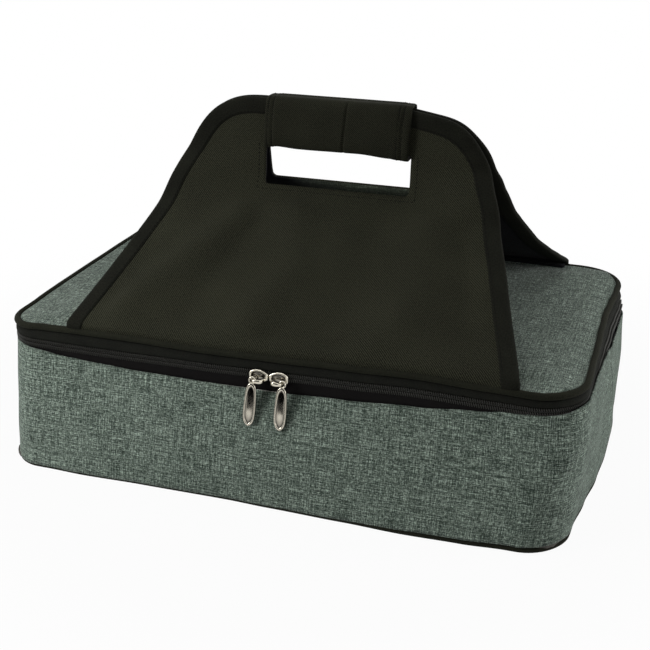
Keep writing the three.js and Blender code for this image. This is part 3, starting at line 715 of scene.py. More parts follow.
# the belt's upright join on the right side: a groove in a puffed roll of cloth
def joinStray(point, share, w):
    if point.x < 0:
        return 0.0
    away = point.y - w["seamPlace"]
    puff = w["seamPuff"] * math.exp(-(away / w["seamPuffReach"]) ** 2)
    groove = w["seamDepth"] * math.exp(-(away / w["seamHalf"]) ** 2)
    return (puff - groove) * math.sin(math.pi * min(max(share * 1.04 - 0.02, 0), 1)) ** 0.5


def addCanvasWall(w):
    rings = []
    for share in steps(0, 1, w["rows"]):
        level = w["bottom"] + (box["wallHeight"] - w["bottom"]) * share
        held = math.sin(math.pi * min(share * 1.02, 1)) ** 0.6
        ring = []
        for point in wallRing(level, 0):
            hang = waveAt("hang", point.x) * (1 - share) ** 3
            spot = Vector((point.x, point.y, level + hang + canvasWave(point) * share ** 3))
            out = sum(soften(spot, *dent) for dent in w["dents"]) * held
            out += w["cornerOut"] * cornerShare(point, w["reach"]) * share ** 3
            out += pocketStray(point, share, w) + foldStray(point, level, w) + joinStray(point, share, w)
            ring.append(spot + Vector((point.x, point.y, 0)).normalized() * out)
        rings.append(ring)
    bm = loftRings(rings)
    wrapCoordinates(bm, rings[0], w["endYarn"])
    obj = addPiece("canvas_wall", bm, "canvas", "base", ["base_canvas_wall"])
    thicken(obj, w["thickness"])


# cording round an outline: a closed ring of round section with a slight hand-sewn wander
cording = {
    "sides": 12, "wanderSize": 0.05,
    "bottom": {"diameter": 3.8 * mm, "bottom": 0.2 * mm, "wander": 0.1 * mm, "seed": 1.3, "inset": 0.4 * mm},
    "lid": {"diameter": 4.8 * mm, "bottom": 100.1 * mm, "wander": 0.2 * mm, "seed": 4.4},
}


def addPiping(name, ringAt, c, body, node):
    radius = c["diameter"] / 2
    rings = []
    for side in range(cording["sides"]):
        angle = side / cording["sides"] * 2 * math.pi
        height = c["bottom"] + radius + radius * math.sin(angle)
        ring = raised(ringAt(radius - radius * math.cos(angle)), height)
        for point in ring:
            wander = soften(Vector((point.x, point.y, 0)), c["wander"], cording["wanderSize"], c["seed"])
            point.z += wander + (lidWave("lid", point) if body == "lid" else 0)
        rings.append(ring)
    addPiece(name, loftRings(rings, closeUp=True), "piping", body, [node])


underside = {"thickness": 1.5 * mm, "inset": 4.7 * mm, "rows": 12, "least": 0.05, "clear": 0.1 * mm}


def addUnderside(u):
    outline = wallRing(0, u["inset"])
    rings = [raised(outline, u["thickness"], share) for share in steps(1, u["least"], u["rows"])]
    bm = loftRings(rings, capLast=True)
    setCloth(bm, lambda spot: (spot.x, spot.y))
    obj = addPiece("bottom_cloth", bm, "binding", "base", ["base_bottom_panel"])
    thicken(obj, u["thickness"] - u["clear"])


# padding between canvas and liner: walls and floor in one foam tub with a rounded rim
padding = {
    "outer": 1.6 * mm, "inner": 7.2 * mm, "bottom": 5.3 * mm, "floor": 10 * mm, "top": 79.1 * mm,
    "rim": 2 * mm, "rimHalf": 1 * mm, "rows": 10, "shares": (0.1, 0.6),
}


def addBasePadding(p):
    under, over = wallRing(p["bottom"], p["outer"]), wallRing(p["floor"], p["inner"])
    middle = (p["outer"] + p["inner"]) / 2
    shoulder = p["top"] - p["rim"]
    rings = [raised(under, p["bottom"], share) for share in p["shares"]]
    rings += [raised(wallRing(z, p["outer"]), z) for z in steps(p["bottom"], shoulder, p["rows"])]
    rings += [raised(wallRing(p["top"], middle + way * p["rimHalf"]), p["top"]) for way in (-1, 1)]
    rings += [raised(wallRing(z, p["inner"]), z) for z in steps(shoulder, p["floor"], p["rows"])]
    rings += [raised(over, p["floor"], share) for share in p["shares"][::-1]]
    bm = loftRings(rings, capFirst=True, capLast=True)
    obj = addPiece("base_padding", bm, "foam", "base", ["wall_foam", "floor_foam"])


# wipe-clean liner: a tub of thin film, a little slack, folded over the padding's rim
liner = {
    "inset": 7.9 * mm, "floor": 11 * mm, "top": 79.9 * mm, "slack": 0.5 * mm,
    "uneven": (0.5 * mm, 0.03, 5.5), "floorLevel": 1 * mm, "thickness": 0.5 * mm,
    "lipInset": 2.2 * mm, "lipDrop": 0.2 * mm, "rimInset": 5 * mm, "rimDrop": 1.2 * mm,
    "floorRound": 3 * mm, "floorIn": 2 * mm, "rows": 16, "floorRows": 12, "mostArea": 0.2405,
}


def addBaseLiner(n):
    rings = [raised(wallRing(n["top"], n["lipInset"]), n["top"] - n["lipDrop"])]
    rings.append(raised(wallRing(n["top"], n["rimInset"]), n["top"]))
    for z in steps(n["top"] - n["rimDrop"], n["floor"] + n["floorRound"], n["rows"]):
        rings.append(raised(wallRing(z, n["inset"]), z))
    foot = wallRing(n["floor"], n["inset"] + n["floorIn"])
    rings += [raised(foot, n["floor"], share) for share in [1] + steps(0.96, 0.06, n["floorRows"])]
    for point in [point for ring in rings[2:] for point in ring]:
        loose = n["slack"] + soften(point, *n["uneven"])
        if point.z > n["floor"] + n["floorLevel"]:
            point -= Vector((point.x, point.y, 0)).normalized() * loose
        else:
            point.z += loose
    bm = loftRings(rings, capLast=True)
    obj = addPiece("base_liner", bm, "film", "base", ["inner_liner"])
    thicken(obj, n["thickness"], 0)


addCanvasWall(wall)
addPiping("bottom_cording", lambda inset: wallRing(0, inset + cording["bottom"]["inset"]), cording["bottom"],
          "base", "bottom_piping")
addUnderside(underside)
addBasePadding(padding)
addBaseLiner(liner)
print("base ready")

# lid: crowned canvas, padding and liner

lid = {
    "top": 104 * mm, "inset": 4.2 * mm, "crown": 3.5 * mm, "rows": 40, "dent": 1.0 * mm, "dentSize": 0.09,
    "dentSeed": 9.2, "thickness": 1.0 * mm, "tuckOut": 0.8 * mm, "tuckDrop": 1.6 * mm, "fullness": 2.6 * mm,
    "fullReach": 9 * mm, "yarn": 0.8, "hemFrom": 108 * mm, "hemTo": 92 * mm, "hemHalf": 163 * mm,
    "hemMiddle": 7 * mm, "hemFade": 14 * mm,
    "leftIn": 1.4 * mm, "leftFrom": 150 * mm, "leftFade": 40 * mm, "flatLeft": 0.65, "flatFrom": 120 * mm,
    "flatFade": 60 * mm, "edgeShares": [1.0, 0.993, 0.986, 0.978, 0.97, 0.96, 0.95, 0.94],
}
lidPad = {
    "inset": 6 * mm, "under": 94.6 * mm, "side": (96.5 * mm, 100.5 * mm), "over": 102.2 * mm,
    "crown": 3.3 * mm,
}
lidFilm = {
    "edge": [(3.4 * mm, 97 * mm), (5 * mm, 94.4 * mm)], "inset": 6 * mm, "height": 93.8 * mm,
    "dent": 0.3 * mm, "thickness": 0.5 * mm, "mostArea": 0.0961,
}


# the padded lid rises fast behind its edge, but not where a handle's hem holds it down
def lidFullness(point, edge):
    free = 1 - math.exp(-(edge / lid["fullReach"]) ** 2)
    held = ease((lid["hemHalf"] + lid["hemFade"] - abs(point.x - lid["hemMiddle"])) / lid["hemFade"])
    under = ease((abs(point.y) - lid["hemTo"]) / (lid["hemFrom"] - lid["hemTo"]))
    onLeft = ease((-point.x - lid["flatFrom"]) / lid["flatFade"])
    return lid["fullness"] * free * (1 - held * under) * (1 - lid["flatLeft"] * onLeft)


def crownedRings(inset, z, crown, shares, dent=0, full=False):
    rings = []
    outline = lidRing(inset)
    for share in shares:
        ring = raised(outline, z + crown * (1 - share ** 2) ** 2, share)
        for spot in ring:
            spot.x += lid["leftIn"] * ease((-spot.x - lid["leftFrom"]) / lid["leftFade"]) if full else 0
            spot.z += soften(spot, dent, lid["dentSize"], lid["dentSeed"]) * min((1 - share) * 8, 1)
            edge = min(box["lidWidth"] / 2 - inset - abs(spot.x), box["lidDepth"] / 2 - inset - abs(spot.y))
            spot.z += lidFullness(spot, max(edge, 0)) if full else 0
            spot.z += lidWave("lid", spot) * share ** 6
        rings.append(ring)
    return rings


def addLidCanvas(l):
    rings = [raised(lidRing(l["inset"] - l["tuckOut"]), l["top"] - l["tuckDrop"])]
    for point in rings[0]:
        point.z += lidWave("lid", point)
    shares = l["edgeShares"] + steps(0.925, 0.03, l["rows"])
    rings += crownedRings(l["inset"], l["top"], l["crown"], shares, l["dent"], True)
    bm = loftRings(rings, capLast=True)
    setCloth(bm, lambda spot: (spot.x, spot.y * l["yarn"]))
    obj = addPiece("lid_canvas", bm, "canvas", "lid", ["lid_canvas_panel"])
    thicken(obj, l["thickness"])


def addLidPadding(p):
    shares = steps(0.05, 0.985, 10)
    rings = crownedRings(p["inset"], p["under"], 0, shares)
    rings += [raised(lidRing(p["inset"]), z) for z in p["side"]]
    rings += crownedRings(p["inset"], p["over"], p["crown"], shares[::-1], 0, True)
    bm = loftRings(rings, capFirst=True, capLast=True)
    obj = addPiece("lid_padding", bm, "foam", "lid", ["lid_foam"])


def addLidLiner(f):
    rings = [raised(lidRing(inset), z) for inset, z in f["edge"]]
    rings += crownedRings(f["inset"], f["height"], 0, [1.0] + steps(0.98, 0.04, 14), f["dent"])
    bm = loftRings(rings, capLast=True)
    bmesh.ops.reverse_faces(bm, faces=bm.faces)
    obj = addPiece("lid_lining", bm, "film", "lid", ["lid_liner"])
    thicken(obj, f["thickness"], 0)


addLidCanvas(lid)
addPiping("lid_cording", lidRing, cording["lid"], "lid", "lid_piping")
addLidPadding(lidPad)
addLidLiner(lidFilm)
print("lid ready")

# zip: tapes, coil teeth and the cloth hinge behind; tape rows are (inset from the lid's outline, height)

zipBand = {
    "parting": 90.3 * mm, "tapeThickness": 0.6 * mm, "lidPart": 96 * mm, "flareTop": 99 * mm,
    "flareTall": 12 * mm,
    "lowerRows": [(4.4, 74.5), (3.8, 77), (3.2, 79.5), (2.8, 82), (2.5, 84.5), (2.5, 86.5), (2.5, 88.2),
                  (2.5, 89.9)],
    "upperRows": [(2.5, 90.7), (2.5, 92.4), (2.45, 93.9), (1.1, 94.1), (0.85, 94.6), (0.9, 96), (0.95, 97.6),
                  (1.3, 98.6), (2.2, 99.3), (3.2, 99.8)],
    "pitch": 1.5 * mm, "toothHeight": 2.8 * mm, "toothRadius": 0.4 * mm, "toothTaper": 0.8, "toothDeep": 1.7,
    "toothSides": 6, "toothInset": 1.6 * mm, "toothGap": 0.14 * mm, "slant": 0.25,
}


# on the right side the zip spreads outwards below the lid's edge
def zipFlare(point, z):
    below = min(max((zipBand["flareTop"] - z) / zipBand["flareTall"], 0), 1)
    return waveAt("zipRight", point.y) * below * max(point.x, 0) / (box["lidWidth"] / 2)


def addTape(name, rows, body, node, look):
    rings = [raised(lidRing(inset * mm), z * mm) for inset, z in rows]
    for point in [point for ring in rings for point in ring]:
        point.x += zipFlare(point, point.z)
        point.z += lidWave("lid" if point.z > zipBand["lidPart"] else "chain", point)
    bm = loftRings(rings)
    wrapCoordinates(bm, rings[0])
    obj = addPiece(name, bm, look, body, [node])
    thicken(obj, zipBand["tapeThickness"])
    wide = sum(math.dist(here, there) for here, there in zip(rows, rows[1:])) * mm


# the run of the chain: left side, front and right side, at even steps
def chainRun(inset, pitch, z):
    ring = lidRing(inset)
    for point in ring:
        point.x += zipFlare(point, z)
    start = 2 * box["cornerSteps"] + box["longSteps"]
    return evenRun(ring[start:] + ring[:1], pitch)


def addCoil(name, upper, body, node):
    z = zipBand
    bm = bmesh.new()
    way = 1 if upper else -1
    shift = z["pitch"] * 0.5 if upper else 0.0
    middle = z["parting"] + way * (z["toothHeight"] / 2 + z["toothGap"])
    for spot, heading in chainRun(z["toothInset"], z["pitch"], middle):
        spot = spot + heading * shift
        out = Vector((heading.y, -heading.x, 0))
        tip = (Vector((0, 0, -way)) + Vector((heading.x, heading.y, 0)) * z["slant"] * way).normalized()
        turn = Matrix((tip.cross(out).normalized(), out, tip)).transposed().to_4x4()
        place = Matrix.Translation((spot.x, spot.y, middle + lidWave("chain", spot)))
        bmesh.ops.create_cone(bm, cap_ends=True, segments=z["toothSides"], depth=z["toothHeight"],
                              radius1=z["toothRadius"] * z["toothTaper"], radius2=z["toothRadius"],
                              matrix=place @ turn @ Matrix.Diagonal((1, z["toothDeep"], 1, 1)))
    addPiece(name, bm, "coil", body, [node])


hinge = {
    "half": 165 * mm, "face": 121.6 * mm, "low": 79.6 * mm, "high": 100.4 * mm, "columns": 60, "rows": 14,
    "hollow": 0.35 * mm, "hollowHalf": 9 * mm, "thickness": 1.0 * mm, "bendFrom": 86 * mm,
    "bendTo": 94.6 * mm, "nodes": ["rear_hinge_lower", "rear_hinge_upper"],
}


def addHinge(h):
    def lay(across, up):
        z = h["low"] + (h["high"] - h["low"]) * (up + 1) / 2
        hollow = h["hollow"] * math.cos((z - zipBand["parting"]) / h["hollowHalf"] * math.pi / 2)
        return Vector((across * h["half"], h["face"] - hollow, z))

    bm = layGrid(h["columns"], h["rows"], lay)
    setCloth(bm, lambda spot: (spot.x, spot.z))
    if sum(face.normal.y for face in bm.faces) < 0:
        bmesh.ops.reverse_faces(bm, faces=bm.faces)
    obj = addPiece("cloth_hinge", bm, "binding", None, h["nodes"])
    thicken(obj, h["thickness"])
    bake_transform(obj)


# the lower tape takes the darker copy: painted shade under the chain
addTape("lower_tape", zipBand["lowerRows"], "base", "lower_zip_tape", "shadedTape")
addTape("upper_tape", zipBand["upperRows"], "lid", "upper_zip_tape", "tape")
addCoil("lower_coil", False, "base", "lower_zip_coil")
addCoil("upper_coil", True, "lid", "upper_zip_coil")
addHinge(hinge)
print("zip ready")

# handle panels, cut flat and laid along the handle's side line

handle = {
    "shift": 7 * mm, "gripShift": 1.5 * mm, "pivotOut": 118.6 * mm, "pivotHeight": 107.96 * mm,
    "kinkOut": 29 * mm, "kinkRise": 61 * mm, "riseOut": 11 * mm, "riseDrop": 1 * mm, "rise": 140 * mm,
    "barHeight": 32 * mm, "barOffset": 2.8 * mm, "slotHeight": 27 * mm, "slotHalf": 53.8 * mm,
    "slotRadius": 3 * mm, "probe": 1.5 * mm, "joinBelow": 3 * mm, "joinIn": 3.3 * mm, "joinAbove": 3.6 * mm,
    "baseHalf": 158 * mm, "kinkHalf": 128 * mm, "topHalf": 60 * mm, "shoulderHalf": 103 * mm,
    "sideLean": 16 * mm, "sideReach": 39 * mm, "tuck": 3.8 * mm, "tuckOut": 0.3 * mm, "overTop": 1.2 * mm,
    "footRound": 2.5 * mm, "foldRound": 14 * mm, "riseRound": 8 * mm, "bendRound": 5 * mm, "cell": 4.5 * mm,
    "panelOut": 0.85 * mm, "panelThickness": 1.3 * mm, "liningIn": 0.65 * mm, "liningThickness": 0.9 * mm,
    "warpFrom": 50 * mm, "warpFade": 62 * mm, "warpRise": 20 * mm, "warpBelow": 4 * mm, "footWave": 45 * mm,
    "shoulderFrom": 55 * mm, "shoulderFade": 30 * mm, "shoulderDrop": 3 * mm, "dropPlace": 70 * mm,
    "dropReach": 18 * mm, "dropFrom": 215 * mm, "dropFade": 20 * mm,
}
# how each handle's cloth departs from its plain line: front is -1, rear is 1
handleSlack = {
    -1: {"middleIn": 4 * mm, "sideOut": 5 * mm, "sag": 1.5 * mm, "baseIn": 0, "dent": 0.8 * mm},
    1: {"middleIn": 2.5 * mm, "sideOut": 4 * mm, "sag": 6 * mm, "baseIn": 5 * mm, "dent": 1.6 * mm},
}
handle["top"] = handle["pivotHeight"] + handle["rise"]
handle["kinkHeight"] = handle["pivotHeight"] + handle["kinkRise"]
handle["barBottom"] = handle["top"] - handle["barHeight"]
handle["slotBottom"] = handle["barBottom"] - handle["slotHeight"]


def cornerCurve(before, corner, after, reach, count):
    enter = corner + (before - corner).normalized() * reach
    leave = corner + (after - corner).normalized() * reach
    return [enter.lerp(corner, t).lerp(corner.lerp(leave, t), t) for t in steps(0, 1, count)]


# the side line in (out, z), from the tucked seam up, with its length at each point
def sideLine(h):
    line = [Vector(place) for place in (
        (h["pivotOut"] + h["tuckOut"], h["pivotHeight"] - h["tuck"]), (h["pivotOut"], h["pivotHeight"]),
        (h["kinkOut"], h["kinkHeight"]), (h["riseOut"], h["slotBottom"] - h["riseDrop"]),
        (h["barOffset"], h["barBottom"] - h["bendRound"]), (h["barOffset"], h["top"] + h["overTop"]),
    )]
    rounds = [(h["footRound"], 8), (h["foldRound"], 20), (h["riseRound"], 14), (h["bendRound"], 10)]
    points = line[:1]
    for before, corner, after, (reach, count) in zip(line, line[1:], line[2:], rounds):
        points += cornerCurve(before, corner, after, reach, count)
    points.append(line[-1])
    lengths = [0.0]
    for here, there in zip(points, points[1:]):
        lengths.append(lengths[-1] + (there - here).length)
    return points, lengths


linePoints, lineLengths = sideLine(handle)
panelLength = lineLengths[-1] - handle["overTop"]


def onLine(length):
    length = min(max(length, 0), lineLengths[-1] - 1e-6)
    index = max(i for i, value in enumerate(lineLengths) if value <= length)
    index = min(index, len(linePoints) - 2)
    share = (length - lineLengths[index]) / (lineLengths[index + 1] - lineLengths[index])
    return linePoints[index].lerp(linePoints[index + 1], share)


def lineNormal(length):
    along = (onLine(length + handle["probe"]) - onLine(length - handle["probe"])).normalized()
    return Vector((along.y, -along.x))


def lengthAt(height):
    for index in range(len(linePoints) - 1):
        here, there = linePoints[index], linePoints[index + 1]
        if here.y <= height <= there.y:
            share = (height - here.y) / max(there.y - here.y, tiny)
            return lineLengths[index] + share * (lineLengths[index + 1] - lineLengths[index])
    return lineLengths[-1]


# right-hand edge of the flat panel as (x, length along the side line)
def panelEdge(h):
    edge = [(h["baseHalf"], 0.0), (h["baseHalf"], lengthAt(h["pivotHeight"]))]
    for t in steps(0.06, 1, 18):
        x = h["baseHalf"] + (h["kinkHalf"] - h["baseHalf"]) * t
        edge.append((x, lengthAt(h["pivotHeight"] + h["kinkRise"] * t)))
    a = Vector((h["kinkHalf"], h["kinkHeight"]))
    b = Vector((h["kinkHalf"] - h["sideLean"], h["kinkHeight"] + h["sideReach"]))
    c = Vector((h["shoulderHalf"], h["top"]))
    d = Vector((h["topHalf"], h["top"]))
    for t in steps(0.04, 1, 30):
        p = a * (1 - t) ** 3 + b * 3 * t * (1 - t) ** 2 + c * 3 * t * t * (1 - t) + d * t ** 3
        edge.append((p.x, lengthAt(min(p.y, h["top"]))))
    return [Vector(p) for p in edge]


edgeRight = panelEdge(handle)
slotLow, slotHigh = lengthAt(handle["slotBottom"]), lengthAt(handle["barBottom"])
footLength, kinkLength = lengthAt(handle["pivotHeight"]), lengthAt(handle["kinkHeight"])


def panelOutline():
    return [Vector((-p.x, p.y)) for p in edgeRight] + [p.copy() for p in reversed(edgeRight)]


def slotLoop(h):
    half, r, middle = h["slotHalf"], h["slotRadius"], h["gripShift"]
    left, right = Vector((middle - half, slotHigh)), Vector((middle + half, slotHigh))
    lower = quarterArc(Vector((left.x + r, slotLow + r)), r, math.pi, 5)
    lower += quarterArc(Vector((right.x - r, slotLow + r)), r, math.pi * 1.5, 5)
    return [left] + lower + [right]


# the cloth stands closer together behind the grip than at its sides, and sags on the slope below
def handleWarp(side, x, length, z):
    h, slack = handle, handleSlack[side]
    spread = ease((abs(x - h["gripShift"]) - h["warpFrom"]) / h["warpFade"])
    above, below = z - h["kinkHeight"], h["barBottom"] - h["warpBelow"] - z
    high = ease(above / h["warpRise"]) * ease(below / h["warpRise"])
    onSlope = min(max((length - footLength) / (kinkLength - footLength), 0), 1)
    out = (spread * (slack["sideOut"] + slack["middleIn"]) - slack["middleIn"]) * high
    return out - slack["sag"] * math.sin(math.pi * onSlope)


# a point of the flat cloth, laid on the handle; out is along the cloth's normal
def onHandle(side, x, length, out):
    h = handle
    base, normal = onLine(length), lineNormal(length)
    out += handleWarp(side, x, length, base.y)
    lower = 1 - ease((length - footLength) / (kinkLength - footLength))
    drawn = handleSlack[side]["baseIn"] * lower * max(x, 0) / h["baseHalf"]
    spot = Vector((x + h["shift"] - drawn, side * (base.x + normal.x * out), base.y + normal.y * out))
    spot.z += lidWave("lid", spot) * (1 - ease((length - footLength) / h["footWave"]))
    drop = h["shoulderDrop"] * math.exp(-((x - h["dropPlace"]) / h["dropReach"]) ** 2)
    spot.z -= drop * ease((spot.z - h["dropFrom"]) / h["dropFade"])
    right = ease((x - h["shoulderFrom"]) / h["shoulderFade"])
    spot.x += waveAt("shoulderFront" if side < 0 else "shoulderRear", base.y) * right
    return spot


# soft folds of the front panel, on the flat panel in mm: places along each, reach, height or depth
frontFolds = [
    ([(-62, 108), (-96, 62), (-122, 22)], 13, 4.8),
    ([(-24, 120), (-9, 67), (-32, 22)], 14, 4.4),
    ([(78, 112), (79, 53), (66, 20)], 16, 4.4),
    ([(-50, 108), (-62, 68), (-76, 26)], 11, -2.6),
    ([(37, 112), (38, 61), (21, 24)], 14, -2.4),
    ([(116, 104), (122, 40)], 24, -3.4),
    ([(-95, 7), (-95, 8)], 8, -2.4),
    ([(-11, 13), (-11, 14)], 8, -2.6),
    ([(35, 12), (35, 13)], 8, -2.6),
]
foldMargin = {"binding": 12 * mm, "fade": 18 * mm, "foot": 3 * mm, "rise": 10 * mm, "slot": 4 * mm}
dentMargin = {"size": 0.06, "foot": 12 * mm, "slot": 6 * mm, "side": 125 * mm, "fade": 40 * mm}


def foldOut(x, length):
    m = foldMargin
    half = handle["baseHalf"] - (handle["baseHalf"] - handle["kinkHalf"]) * min(length / kinkLength, 1)
    inside = ease((half - abs(x) - m["binding"]) / m["fade"])
    inside *= ease((length - m["foot"]) / m["rise"]) * ease((slotLow - m["slot"] - length) / m["fade"])
    spot = Vector((x, length))
    out = 0
    for places, reach, high in frontFolds:
        points = [Vector(place) * mm for place in places]
        near = []
        for here, there in zip(points, points[1:]):
            way = there - here
            share = min(max((spot - here).dot(way) / way.length_squared, 0), 1)
            near.append((spot - here.lerp(there, share)).length)
        out += high * mm * math.exp(-(min(near) / (reach * mm)) ** 2)
    return out * inside


def handleDent(side, x, length):
    m = dentMargin
    inside = 1
    for room in (length - m["foot"], slotLow - m["slot"] - length, m["side"] - abs(x)):
        inside *= min(max(room / m["fade"], 0), 1)
    dent = soften(Vector((x, length * 1.2, side * 0.3)), handleSlack[side]["dent"], m["size"], 2.2) * inside
    return dent + (foldOut(x, length) if side < 0 else 0)


def addFlatCloth(name, side, out, look, node, thickness):
    h = handle
    bm = bmesh.new()
    for loop in (panelOutline(), slotLoop(h)):
        verts = [bm.verts.new((p.x, p.y, 0)) for p in loop]
        for here, there in zip(verts, verts[1:] + verts[:1]):
            bm.edges.new((here, there))
    bmesh.ops.triangle_fill(bm, edges=bm.edges, use_beauty=True)
    for axis, low, high in ((0, -h["baseHalf"], h["baseHalf"]), (1, 0, panelLength)):
        for value in steps(low, high, round((high - low) / h["cell"]))[1:-1]:
            point, normal = [0, 0, 0], [0, 0, 0]
            point[axis], normal[axis] = value, 1
            geometry = bm.verts[:] + bm.edges[:] + bm.faces[:]
            bmesh.ops.bisect_plane(bm, geom=geometry, dist=1e-6, plane_co=point, plane_no=normal)
    setCloth(bm, lambda spot: (spot.x, spot.y))
    for vert in bm.verts:
        x, length = vert.co.x, vert.co.y
        vert.co = onHandle(side, x, length, out + handleDent(side, x, length))
    bmesh.ops.recalc_face_normals(bm, faces=bm.faces)
    outwards = onHandle(side, 0, 40 * mm, 1) - onHandle(side, 0, 40 * mm, 0)
    if sum(face.normal.dot(outwards) * face.calc_area() for face in bm.faces) < 0:
        bmesh.ops.reverse_faces(bm, faces=bm.faces)
    obj = addPiece(name, bm, look, None, [node])
    thicken(obj, thickness, 0)
    joinToLid(obj)


# bakes the piece's placement into its mesh; the piece rides on no body
def joinToLid(obj):
    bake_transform(obj)


binding = {
    "width": 11 * mm, "out": 2.0 * mm, "inside": 1.7 * mm, "past": 1.0 * mm, "step": 3 * mm, "foot": 0.6 * mm,
    "stitchIn": 1.6 * mm, "stitchStep": 3.2 * mm,
}


# evenly spaced points round the bound edge: up the left, over the top, down the right
def boundEdge(step):
    loop = panelOutline()
    loop[0].y = loop[-1].y = binding["foot"]
    points = [spot for spot, heading in evenRun(loop, step)] + [loop[-1]]
    last = len(points) - 1
    smooth = []
    for index, point in enumerate(points):
        near = points[max(index - 2, 0):index + 3]
        heading = (points[min(index + 2, last)] - points[max(index - 2, 0)]).normalized()
        middle = sum(near, Vector((0, 0))) / len(near)
        keep = point if index < 2 or index > last - 2 else middle
        smooth.append((keep, Vector((heading.y, -heading.x))))
    return smooth


# the binding's section as (inset, out): over the face, round the edge, back inside, and its hollow
def bindingSection(b):
    wide, out, within, past = b["width"], b["out"], -b["inside"], b["past"]
    section = [(wide, out - 0.55 * mm), (wide - 0.3 * mm, out)]
    section += [(wide * t, out + 0.12 * mm) for t in (0.8, 0.5, 0.2)] + [(0.4 * mm, out)]
    section += [(-past * 0.8, out * 0.6), (-past, 0.1 * mm), (-past * 0.8, within * 0.6), (0.4 * mm, within)]
    section += [(wide * t, within - 0.1 * mm) for t in (0.3, 0.65, 0.95)]
    section += [(wide + 0.1 * mm, within + 0.5 * mm)] + [(wide * t, within + 0.45 * mm) for t in (0.7, 0.3)]
    section += [(0.2 * mm, within + 0.5 * mm), (0.2 * mm, out - 0.55 * mm)]
    return section + [(wide * t, out - 0.5 * mm) for t in (0.3, 0.7)]


def addBinding(name, side, node):
    section = bindingSection(binding)
    rings = []
    for spot, inwards in boundEdge(binding["step"]):
        rings.append([onHandle(side, *(spot + inwards * inset), out) for inset, out in section])
    bm = loftRings(rings, capFirst=True, capLast=True)
    setCloth(bm, lambda spot: (spot.x, spot.z * 1.2))
    joinToLid(addPiece(name, bm, "binding", None, [node]))


# a row of short stitches, each a stretched bead lying along the seam
def addStitches(name, rows, body, length=2.3 * mm, thick=0.34 * mm):
    bm = bmesh.new()
    shape = Matrix.Diagonal((length / 2, thick, thick, 1))
    for spot, heading, normal in [stitch for row in rows for stitch in row]:
        across = heading.cross(normal).normalized()
        up = across.cross(heading).normalized()
        turn = Matrix((heading.normalized(), across, up)).transposed().to_4x4()
        place = Matrix.Translation(spot) @ turn @ shape
        bmesh.ops.create_icosphere(bm, subdivisions=1, radius=1, matrix=place)
    addPiece(name, bm, "thread", body)


def seamOnHandle(side, flatPoints, out):
    row = []
    for here, there in zip(flatPoints, flatPoints[1:]):
        a, b = onHandle(side, *here, out), onHandle(side, *there, out)
        c = onHandle(side, *((here + there) / 2), out + 1 * mm)
        row.append(((a + b) / 2, b - a, c - (a + b) / 2))
    return row


def evenPoints(corners, step):
    points = []
    for here, there in zip(corners, corners[1:]):
        count = max(round((there - here).length / step), 1)
        points += [here.lerp(there, i / count) for i in range(count)]
    return points + [corners[-1]]


# the rear lining wears a pale strip of canvas tone under its slot: a facing, painted lighter than the dark
# cloth there so that it also carries painted light; across its left end it fades into the plain lining
facingPaintedLight = {
    "wide": 11 * mm, "from": -42 * mm, "full": 12 * mm, "to": 56 * mm, "fade": 1 * mm,
    "dark": (40, 46, 38), "pale": (116, 124, 108),
}


def facedLiningPaintedLight(f):
    mat = clothMaterial("facedLiningPaintedLight", liningCloth)
    tree = mat.node_tree
    shader = tree.nodes["Principled BSDF"]
    plain = shader.inputs["Base Color"].links[0].from_socket
    vector = clothVector(tree, True)
    across, along = addNode(tree, "SeparateXYZ", {0: vector}).outputs[:2]
    lower = slotLow - f["wide"]
    limits = [(across, f["from"], f["full"]), (across, f["to"] + f["fade"], f["to"]),
              (along, lower - f["fade"], lower), (along, slotLow + 2 * f["fade"], slotLow + f["fade"])]
    share = 1.0
    for socket, low, high in limits:
        span = addNode(tree, "MapRange", {"Value": socket, "From Min": low, "From Max": high})
        share = mathNode(tree, "MULTIPLY", span.outputs[0], share)
    # the strip's canvas tones: partly painted light
    pale = placeGroup(tree, heatherGroup, vector)["Pale"]
    canvas = mixColours(tree, pale, toLinear(f["dark"]), toLinear(f["pale"]))
    setInputs(tree, shader, {"Base Color": mixColours(tree, share, plain, canvas)})
    return mat


looks["facedLiningPaintedLight"] = facedLiningPaintedLight(facingPaintedLight)
slotStitch = {"out": 5 * mm, "below": 3.6 * mm, "step": 3 * mm}


def addHandle(name, side):
    h, s = handle, slotStitch
    # the rear lining carries the facing strip with its painted light
    inside = "lining" if side < 0 else "facedLiningPaintedLight"
    addFlatCloth(f"{name}_panel", side, h["panelOut"], "twill", f"{name}_handle_panel",
                 h["panelThickness"])
    addFlatCloth(f"{name}_lining", side, -h["liningIn"], inside, f"{name}_handle_lining",
                 h["liningThickness"])
    addBinding(f"{name}_binding", side, f"{name}_handle_binding")
    edge = boundEdge(binding["stitchStep"])[4:-4]
    inner = [spot + inwards * (binding["width"] - binding["stitchIn"]) for spot, inwards in edge]
    rows = [seamOnHandle(side, inner, binding["out"] + 0.1 * mm)]
    left, right = [h["gripShift"] + way * (h["slotHalf"] + s["out"]) for way in (-1, 1)]
    drop = slotLow - s["below"]
    corners = [Vector(p) for p in ((left, slotHigh), (left, drop), (right, drop), (right, slotHigh))]
    rows.append(seamOnHandle(side, evenPoints(corners, s["step"]), h["panelOut"] + h["panelThickness"] / 2))
    addStitches(f"{name}_handle_stitches", rows, handleBody[side])
    addHem(f"{name}_hem", side, f"{name}_handle_hem")


# the handle's seam allowance: a strip folded double and sewn flat on the lid; turns are (inwards, height)
hem = {
    "columns": 90, "thickness": 0.5 * mm, "wander": (0.15 * mm, 0.02, 6.1), "flatHalf": 7 * mm,
    "flatWidth": 13.6 * mm, "drawn": 1.3,
    "turns": [(0, 105.45), (2, 105.5), (4, 105.5), (6, 105.45), (6.4, 105.25), (6.5, 105.05), (6.4, 104.85),
              (6, 104.65), (4, 104.62), (2, 104.62), (0, 104.65)],
}


